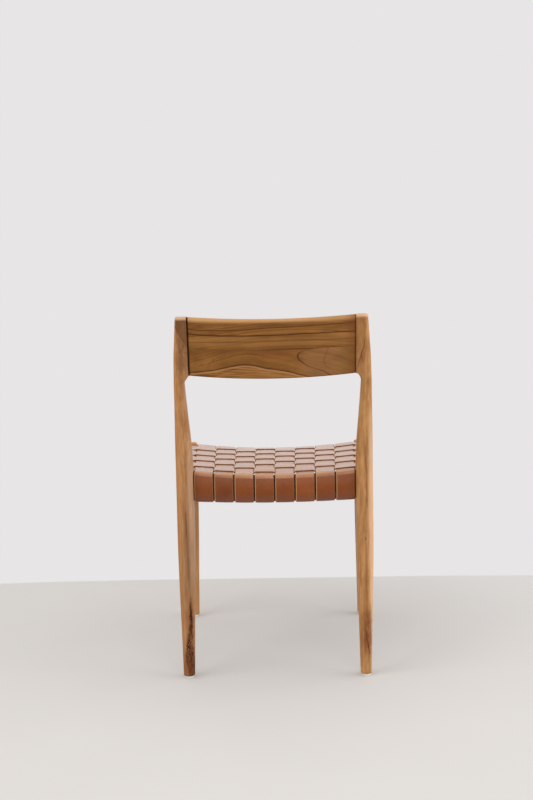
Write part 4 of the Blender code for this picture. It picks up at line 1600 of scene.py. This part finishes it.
def teak(name, wood, figure=None, marks=None):
    """Oiled teak. wood gives its grain's direction, its heart's place, its colours and its seed."""
    material, shader, place = new_finish(name)
    axes = shader.axes(place)
    along = axes[wood["along"]]
    side_a, side_b = [axis for k, axis in enumerate(axes) if k != wood["along"]]
    trunk = shader.point(side_a, side_b, along)
    seed = wood["seed"]
    seeded = (seed, 0, 0)
    sway = (shader.noise(trunk, *sway_noise, shift=seeded) - 0.5) * wood["sway"]
    distance = figure(*axes) + sway if figure else heart_distance(wood, side_a, side_b, along, sway)
    late, year = tree_rings(shader, distance, wood["ring"], seed)
    sheet = shader.point(distance, along, seed)
    bands = shader.noise(sheet, *band_noise)
    streaks = shader.noise(sheet, *streak_noise, shift=(0, 0, streak_seed))
    fibres = shader.noise(trunk, *fibre_noise)
    clouds = shader.noise(trunk, *cloud_noise, shift=seeded)
    tone = (teak_tone + (bands - 0.5) * wood["bands"] + (streaks - 0.5) * wood["streaks"]
            + late * wood["late"] + (clouds - 0.5) * wood["clouds"] + (fibres - 0.5) * fibre_tone
            + (year - 0.5) * year_tone)
    pore = shader.spots(trunk, *pore_spots, shift=seeded)
    colour = shader.blend(pore * pore_tint, shader.ramp(tone, wood["stops"]), wood["pore"])
    if marks:
        marked = Layers(shader, place, axes, colour)
        marks(marked)
        colour = marked.colour
    roughness = (teak_roughness + pore * pore_roughness + (fibres - 0.5) * fibre_roughness
                 - late * late_wood_polish)
    height = fibres * fibre_height - pore * pore_depth - late * late_wood_depth
    shader.surface(colour, roughness, height, **teak_relief)
    return material


def left_leg_marks(wood):
    """Painted light and shade across the leg, greyer wood low down, darker mottled wood on the stile, the
    veins under the rail and beside the board, the dark foot, a painted highlight on the top and painted shade
    along the joint with the board.
    """
    wood.blotches(*left_blotches)
    # Painted light and shade across the leg
    for zone in left_leg_light_bands:
        wood.zone(*zone)
    wood.zone(*greyed_zone, shown=wood.noise(*greyed_noise))
    for vein in left_leg_veins:
        wood.upright_vein(*vein)
    dark_foot(wood)
    beside, _ = wood.upright_vein(*left_board_vein)
    wood.zone(*mottled_stile_zone, shown=wood.noise(*mottle_noise) * mottle_spread + mottle_base)
    wood.zone(*brown_stile_zone, shown=beside.ease(*brown_stile_edge))
    # Painted highlight on the rounded top
    wood.zone(*painted_top_highlight_zone)
    # Painted shade along the joint with the board
    wood.zone(*left_joint_shade_zone)
    wood.upright_vein(*left_rail_vein)


def dark_foot(wood):
    """The burnt patch above the left foot: a dark core with a brown halo, full of pale specks."""
    shader, x, y, z = wood.shader, wood.x, wood.y, wood.z
    line, shown = wood.upright(*left_foot_course)
    flecks = shader.spots(shader.point(x, y, z + x * foot_fleck_slant), *foot_flecks)
    specks = shader.spots(wood.place, *foot_specks)
    beside = (line + foot_patch_shift).math("ABSOLUTE") - z.through(foot_patch_widths)
    halo = beside.ease(*foot_halo_edge) * shown
    core = beside.ease(*foot_core_edge) * shown
    wood.lay(foot_halo, halo * foot_halo_tint)
    wood.lay(foot_core, core * (flecks * foot_fleck_tint + foot_core_base))
    wood.vein(burnt, line, *foot_vein, shown)
    bright = speck_base + z.ease(*speck_low) * z.ease(*speck_high) * speck_more
    wood.lay(foot_speck, specks * core * bright)
    wood.zone(*foot_zone)


def right_leg_marks(wood):
    """A grey streak down the middle, reddish wood above the foot, a painted highlight along the outer back
    edge, a swirl by the board and a painted highlight on the top.
    """
    wood.upright_vein(*right_streak)
    wood.blotches(*right_blotches)
    wood.zone(*right_stile_zone)
    # Painted highlight along the rounded outer back edge, behind the middle of the leg
    behind = wood.y - wood.z.through(rear_leg_bend) - (rear_leg_front_y + rear_leg_depth / 2)
    wood.zone(*painted_rim_highlight_zone, shown=behind.ease(*rim_highlight_depth))
    line, shown = wood.upright(*right_foot_course)
    mottle = (wood.noise(*reddish_noise) * reddish_gain).math("MINIMUM", reddish_most)
    wood.lay(reddish_foot, line.near(*reddish_band) * shown * mottle)
    for vein in right_foot_veins:
        wood.upright_vein(*vein)
    for knot in right_leg_knots:
        wood.knot(*knot)
    line, shown = wood.upright_vein(*right_board_vein)
    wood.lay(swirl_shadow, line.near(*swirl_band) * shown * swirl_tint)
    wood.upright_vein(*right_swirl)
    # Painted highlight on the rounded top
    wood.zone(*painted_top_highlight_zone)


def upper_plank_figure(x, y, z):
    return upper_rings_start - z + x.through(top_rings) + y * upper_rings_slant


def upper_plank_marks(wood):
    """Three dark lines along the plank, a paler strip above the seam, and a painted highlight along its
    rounded top edge.
    """
    shader, x, z = wood.shader, wood.x, wood.z
    wood.zone(*seam_strip_zone)
    flat = shader.point(x, z, 0)
    for k, (line, width, strength) in enumerate(upper_plank_lines):
        uneven = shader.noise(flat, *long_line_noise, shift=(0, 0, long_line_seed + k)) - 0.5
        worn = shader.noise(flat, *worn_line_noise, shift=(0, worn_line_seed + k, 0))
        shown = ((worn * worn_line_spread + worn_line_base) * strength).math("MINIMUM", 1.0)
        wood.vein(charcoal, z - x.through(line) + uneven * upper_line_wander, width, shown)
    # Painted highlight along the rounded top edge, weaker towards the chair's right
    lit_top = (z - x.through(top_highlight_line)).ease(*top_highlight_rise)
    highlight_falloff = x.ease(*top_highlight_side) * top_highlight_fade
    wood.lay(painted_top_edge_highlight, lit_top * (top_highlight_tint - highlight_falloff))
    # The board's ends, with painted shade at the left end
    for zone in board_end_zones:
        wood.zone(*zone)


def lower_plank_figure(x, y, z):
    return lower_rings_start - z + x.through(arch_rings) + y * lower_rings_slant


def lower_plank_marks(wood):
    """An arch of dark late wood, a hooked line beyond it, and zones of greyer and redder wood."""
    shader, x, z = wood.shader, wood.x, wood.z
    for zone in lower_plank_zones:
        wood.zone(*zone)
    uneven = (shader.noise(shader.point(x, z, arch_seed), *arch_noise) - 0.5) * arch_wander
    under = z - x.through(arch_line) + uneven
    shown = x.ease(*arch_start)
    wood.lay(arch_glow, under.near(*arch_glow_band) * shown * arch_glow_tint)
    wood.vein(charcoal, under, *arch_vein, shown)
    low_lines = shader.spots(shader.point(x, z - x * straw_slant, straw_seed), *straw_lines)
    wood.lay(low_straw, under.ease(*low_straw_edge) * shown * low_lines * low_straw_tint)
    wood.vein(charcoal, (x - z.through(hook_line) + uneven) * steep_line_squeeze, *hook_vein)
    hatched = shader.point(x - z * hatch_slant, z + x / hatch_slant, hatch_seed)
    slant = (z - x.through(slant_line) + uneven * hatch_wander).bell(hatch_width)
    wood.zone(*hatch_zone, shown=slant * shader.spots(hatched, *hatch_spots))
    wood.vein(umber, (x - z.through(far_arc_line) + uneven) * steep_line_squeeze, *far_arc_vein)
    wood.knot(*plank_knot)
    # A darker strip under the seam, and the board's ends, with painted shade at the left end
    for zone in (seam_shadow_zone, *board_end_zones):
        wood.zone(*zone)


def beech(name):
    """Pale, fine and even, with the short flecks of its rays."""
    material, shader, place = new_finish(name)
    fibres = shader.noise(place, *beech_fibre_noise)
    flecks = shader.spots(place, *ray_flecks)
    colour = shader.blend(flecks * ray_tint, shader.blend(fibres, beech_pale, beech_tan), beech_fleck)
    shader.surface(colour, beech_roughness + fibres * beech_fibre_roughness, fibres, **beech_relief)
    return material


def steel(name):
    """Plated steel, dulled in the hollows of its fine scratches."""
    material, shader, place = new_finish(name)
    wear = shader.noise(place, *steel_wear_noise)
    scratches = shader.noise(place, *scratch_noise)
    colour = shader.blend(wear, steel_bright, steel_dull)
    shader.surface(colour, steel_roughness + wear * wear_roughness, scratches, **steel_relief)
    return material


def nylon(name):
    """Moulded white plastic with scuffs on its sole."""
    material, shader, place = new_finish(name)
    z = shader.axes(place)[2]
    cloud = shader.noise(place, *nylon_cloud_noise)
    grit = shader.noise(place, *grit_noise)
    scuff = grit.ease(*scuff_edge) * z.ease(*sole_edge)
    colour = shader.blend(scuff * scuff_tint, shader.blend(cloud, nylon_white, nylon_grey), nylon_scuff)
    shader.surface(colour, nylon_roughness + scuff * scuff_roughness, grit, **nylon_relief)
    return material


def leather(name, edge_pale, edge_deep, lit_edge_width):
    """Brown bridle leather: waxed grain outside, paler flesh inside, and its own colours where it is cut.
    Painted light, shade and highlights lie on it too.
    """
    material, shader, place = new_finish(name)
    axes = shader.axes(place)
    x, _, z = axes
    depth, rim, along, share, bend, tone = [shader.mark(mark) for mark in strap_marks]
    sheet = shader.point(along, share * strap_noise_width, tone * strap_noise_step)
    clouds = shader.noise(sheet, *leather_cloud_noise) - 0.5
    blotches = shader.noise(place, *leather_blotch_noise) - 0.5
    dents = shader.spots(sheet, *crease_spots)
    fibres = shader.noise(place, *flesh_noise)
    pebbles = shader.node("TexVoronoi", {}, {"Vector": place, "Scale": pebble_waves})
    browns = clouds * cloud_brown + blotches * blotch_brown + (tone - 0.5) * strap_brown + middle_brown
    grain = Layers(shader, place, axes, shader.ramp(browns, leather_stops))
    # Painted light and shade on the leather
    for zone in leather_light_zones:
        grain.zone(*zone)
    # Roll band over a rail's top: partly paler pull-up leather, partly a painted highlight
    lift = clouds * roll_band_waver + x.math("ABSOLUTE").ease(rear_inner, 0) * rear_rail_dip
    grain.lay(pull_up_and_highlight_tan, bend.ease(*roll_band_bend) * (z + lift).ease(*roll_band_rise) * roll_band_tint)
    grain.lay(leather_dark, dents * crease_tint)
    grain.lay(leather_dark, rim.ease(*rim_edge) * rim_tint)
    inside = depth.ease(*flesh_edge)
    # A painted highlight along one side edge, in the cut edge's colour, wide on the long straps
    lit_edge = rim.ease(lit_edge_width * lit_edge_fade, lit_edge_width) * share.ease(*lit_edge_side)
    cut = depth.math("ABSOLUTE").ease(*cut_edge).math("MAXIMUM", lit_edge)
    colour = shader.blend(inside, grain.colour, shader.blend(fibres, flesh_pale, flesh_brown))
    colour = shader.blend(cut, colour, shader.blend(fibres, edge_pale, edge_deep))
    roughness = (leather_roughness + clouds * cloud_roughness + dents * crease_roughness
                 + inside * flesh_roughness + cut * cut_roughness)
    height = ((1 - inside) * (0.5 - pebbles) * pebble_height - dents * crease_depth
              + fibres * (inside + cut))
    waxed = (1 - cut) * (1 - inside) * wax_weight
    shader.surface(colour, roughness, height, Coat_Weight=waxed, **leather_relief)
    return material


# Stage

def make_floor():
    """A pale floor that keeps the chair's shadow and runs out into the backdrop's tone."""
    bm = bmesh.new()
    bmesh.ops.create_grid(bm, x_segments=1, y_segments=1, size=floor_half)
    floor = piece_from("floor", bm)
    material, shader, place = new_finish("pale_floor")
    floor.data.materials.append(material)
    x, y, _ = shader.axes(place)
    across = ((x / room_half_x) ** 2) ** 2
    deep = (((y - room_middle_y) / room_half_y) ** 2) ** 2
    soft = shader.noise(shader.point(x, y, 0), *floor_noise)
    tone = shader.blend(soft, floor_pale, floor_grey)
    lit = shader.node("BsdfDiffuse", {}, {"Color": tone})
    dim = y.ease(room_dim_start, room_dim_end) * gloss_only(shader)
    seen = shader.blend(dim, backdrop_colour, dim_room_colour)
    glow = shader.node("Emission", {}, {"Color": seen, "Strength": 1.0})
    beyond = (across + deep).ease(*floor_fade) * seen_rays(shader)
    shader.node("OutputMaterial", {}, {"Surface": shader.node("MixShader", {}, (beyond, lit, glow))})


def seen_rays(shader):
    """1 for what the camera sees, straight, in a gloss or through something, and 0 for the chair's light."""
    path = shader.node("LightPath", output="Is Camera Ray")
    return path.math("MAXIMUM", path.out("Is Glossy Ray")).math("MAXIMUM", path.out("Is Transmission Ray"))


def gloss_only(shader):
    """1 for what shows in a gloss, where the room behind the camera is dimmer, and 0 for the rest."""
    path = shader.node("LightPath", output="Is Glossy Ray")
    return path * (1 - path.out("Is Camera Ray"))


def make_world():
    world = bpy.data.worlds.new("studio")
    world.use_nodes = True
    bpy.context.scene.world = world
    shader = Shader(world.node_tree)
    fill = shader.node("Background", {}, {"Color": fill_colour, "Strength": fill_strength})
    way = shader.node("SeparateXYZ", {}, [shader.node("TexCoord", output="Generated")]).out("Y")
    seen = shader.blend(way.ease(*dim_way) * gloss_only(shader), backdrop_colour, dim_room_colour)
    backdrop = shader.node("Background", {}, {"Color": seen, "Strength": 1.0})
    shown = shader.node("MixShader", {}, (seen_rays(shader), fill, backdrop))
    shader.node("OutputWorld", {}, {"Surface": shown})


def make_lamp(name, place, size, power, colour):
    data = bpy.data.lights.new(name, "AREA")
    data.shape = "RECTANGLE"
    data.size, data.size_y = size
    data.energy = power
    data.color = colour
    lamp = bpy.data.objects.new(name, data)
    bpy.context.scene.collection.objects.link(lamp)
    lamp.location = place
    lamp.rotation_euler = (Vector(chair_middle) - Vector(place)).to_track_quat("-Z", "Y").to_euler()


def make_camera():
    """The photograph's viewpoint: behind the chair, a little above its back, looking slightly down."""
    turn = Matrix.Rotation(camera_roll, 3, "Z")
    facing = Vector(camera_aim).to_track_quat("-Z", "Y").to_matrix() @ turn
    data = bpy.data.cameras.new("camera")
    data.lens = camera_lens
    data.sensor_width = camera_sensor
    data.sensor_fit = "AUTO"
    camera = bpy.data.objects.new("camera", data)
    camera.matrix_world = Matrix.Translation(camera_place) @ facing.to_4x4()
    bpy.context.scene.collection.objects.link(camera)
    bpy.context.scene.camera = camera


# Assembly

def make_legs():
    finishes = {
        "rear_left": teak("teak_rear_leg_left", left_leg_wood, marks=left_leg_marks),
        "rear_right": teak("teak_rear_leg_right", right_leg_wood, marks=right_leg_marks),
        "front_left": teak("teak_front_leg_left", front_left_wood),
        "front_right": teak("teak_front_leg_right", front_right_wood)}
    for side, label in sides:
        rear_cutters = [cross_mortise(side, rear_rail_faces, rear_inner),
                        side_mortise(side, rear_leg_front_y, 1), nail_hole("rear", label)]
        rear_cutters += [dowel_hole(side, label, plank, "leg") for plank in planks]
        front_cutters = [cross_mortise(side, front_rail_faces, front_inner),
                         side_mortise(side, front_leg_back_y, -1), nail_hole("front", label)]
        for end, rings, cutters in (("rear", rear_leg_rings(side, label), rear_cutters),
                                    ("front", front_leg_rings(side), front_cutters)):
            node = "%s_leg_%s" % (end, label)
            finish = finishes["%s_%s" % (end, label)]
            leg = piece_from("teak_" + node, loft_mesh(rings), finish, node)
            carve(leg, cutters)
            shade(leg)


def make_board():
    finishes = {"lower": teak("teak_plank_lower", lower_plank_wood, lower_plank_figure, lower_plank_marks),
                "upper": teak("teak_plank_upper", upper_plank_wood, upper_plank_figure, upper_plank_marks)}
    for plank in planks:
        bm = loft_mesh(plank_rings(plank))
        piece = piece_from("teak_plank_" + plank, bm, finishes[plank], "back_plank_" + plank)
        carve(piece, [dowel_hole(side, label, plank, "board") for side, label in sides])
        shade(piece)


def make_rails():
    across = teak("teak_cross_rails", cross_rail_wood)
    deep = teak("teak_side_rails", side_rail_wood)
    for end, faces_at, inner_half in (("rear", rear_rail_faces, rear_inner),
                                      ("front", front_rail_faces, front_inner)):
        bm = loft_mesh(cross_rail_rings(faces_at, inner_half))
        shade(piece_from("teak_%s_rail" % end, bm, across, end + "_seat_rail"))
    for side, label in sides:
        bm = loft_mesh(side_rail_rings(side))
        shade(piece_from("teak_side_rail_" + label, bm, deep, "side_seat_rail_" + label))


def dress_kept_nodes(finish, prefix):
    """Gives a finish to the model's own nodes that are shown as they are."""
    for name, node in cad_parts.items():
        if name.startswith(prefix):
            node.data.materials.clear()
            node.data.materials.append(finish)


make_legs()
make_board()
make_rails()
make_straps(leather("long_strap_leather", raw_edge_and_highlight_tan, edge_brown, long_strap_lit_edge),
            leather("cross_strap_leather", edge_brown, edge_dark, cross_strap_lit_edge))
tack_steel = steel("tack_steel")
make_tacks(tack_steel)
white_nylon = nylon("white_nylon")
for glide_end in ("rear", "front"):
    for _, glide_label in sides:
        make_glide(glide_end, glide_label, white_nylon)
dress_kept_nodes(beech("dowel_beech"), "back_dowel_")
dress_kept_nodes(tack_steel, "glide_nail_")

make_floor()
make_world()
for lamp_name, lamp_settings in lamps.items():
    make_lamp(lamp_name, *lamp_settings)
make_camera()
bpy.context.scene.view_settings.view_transform = "Standard"
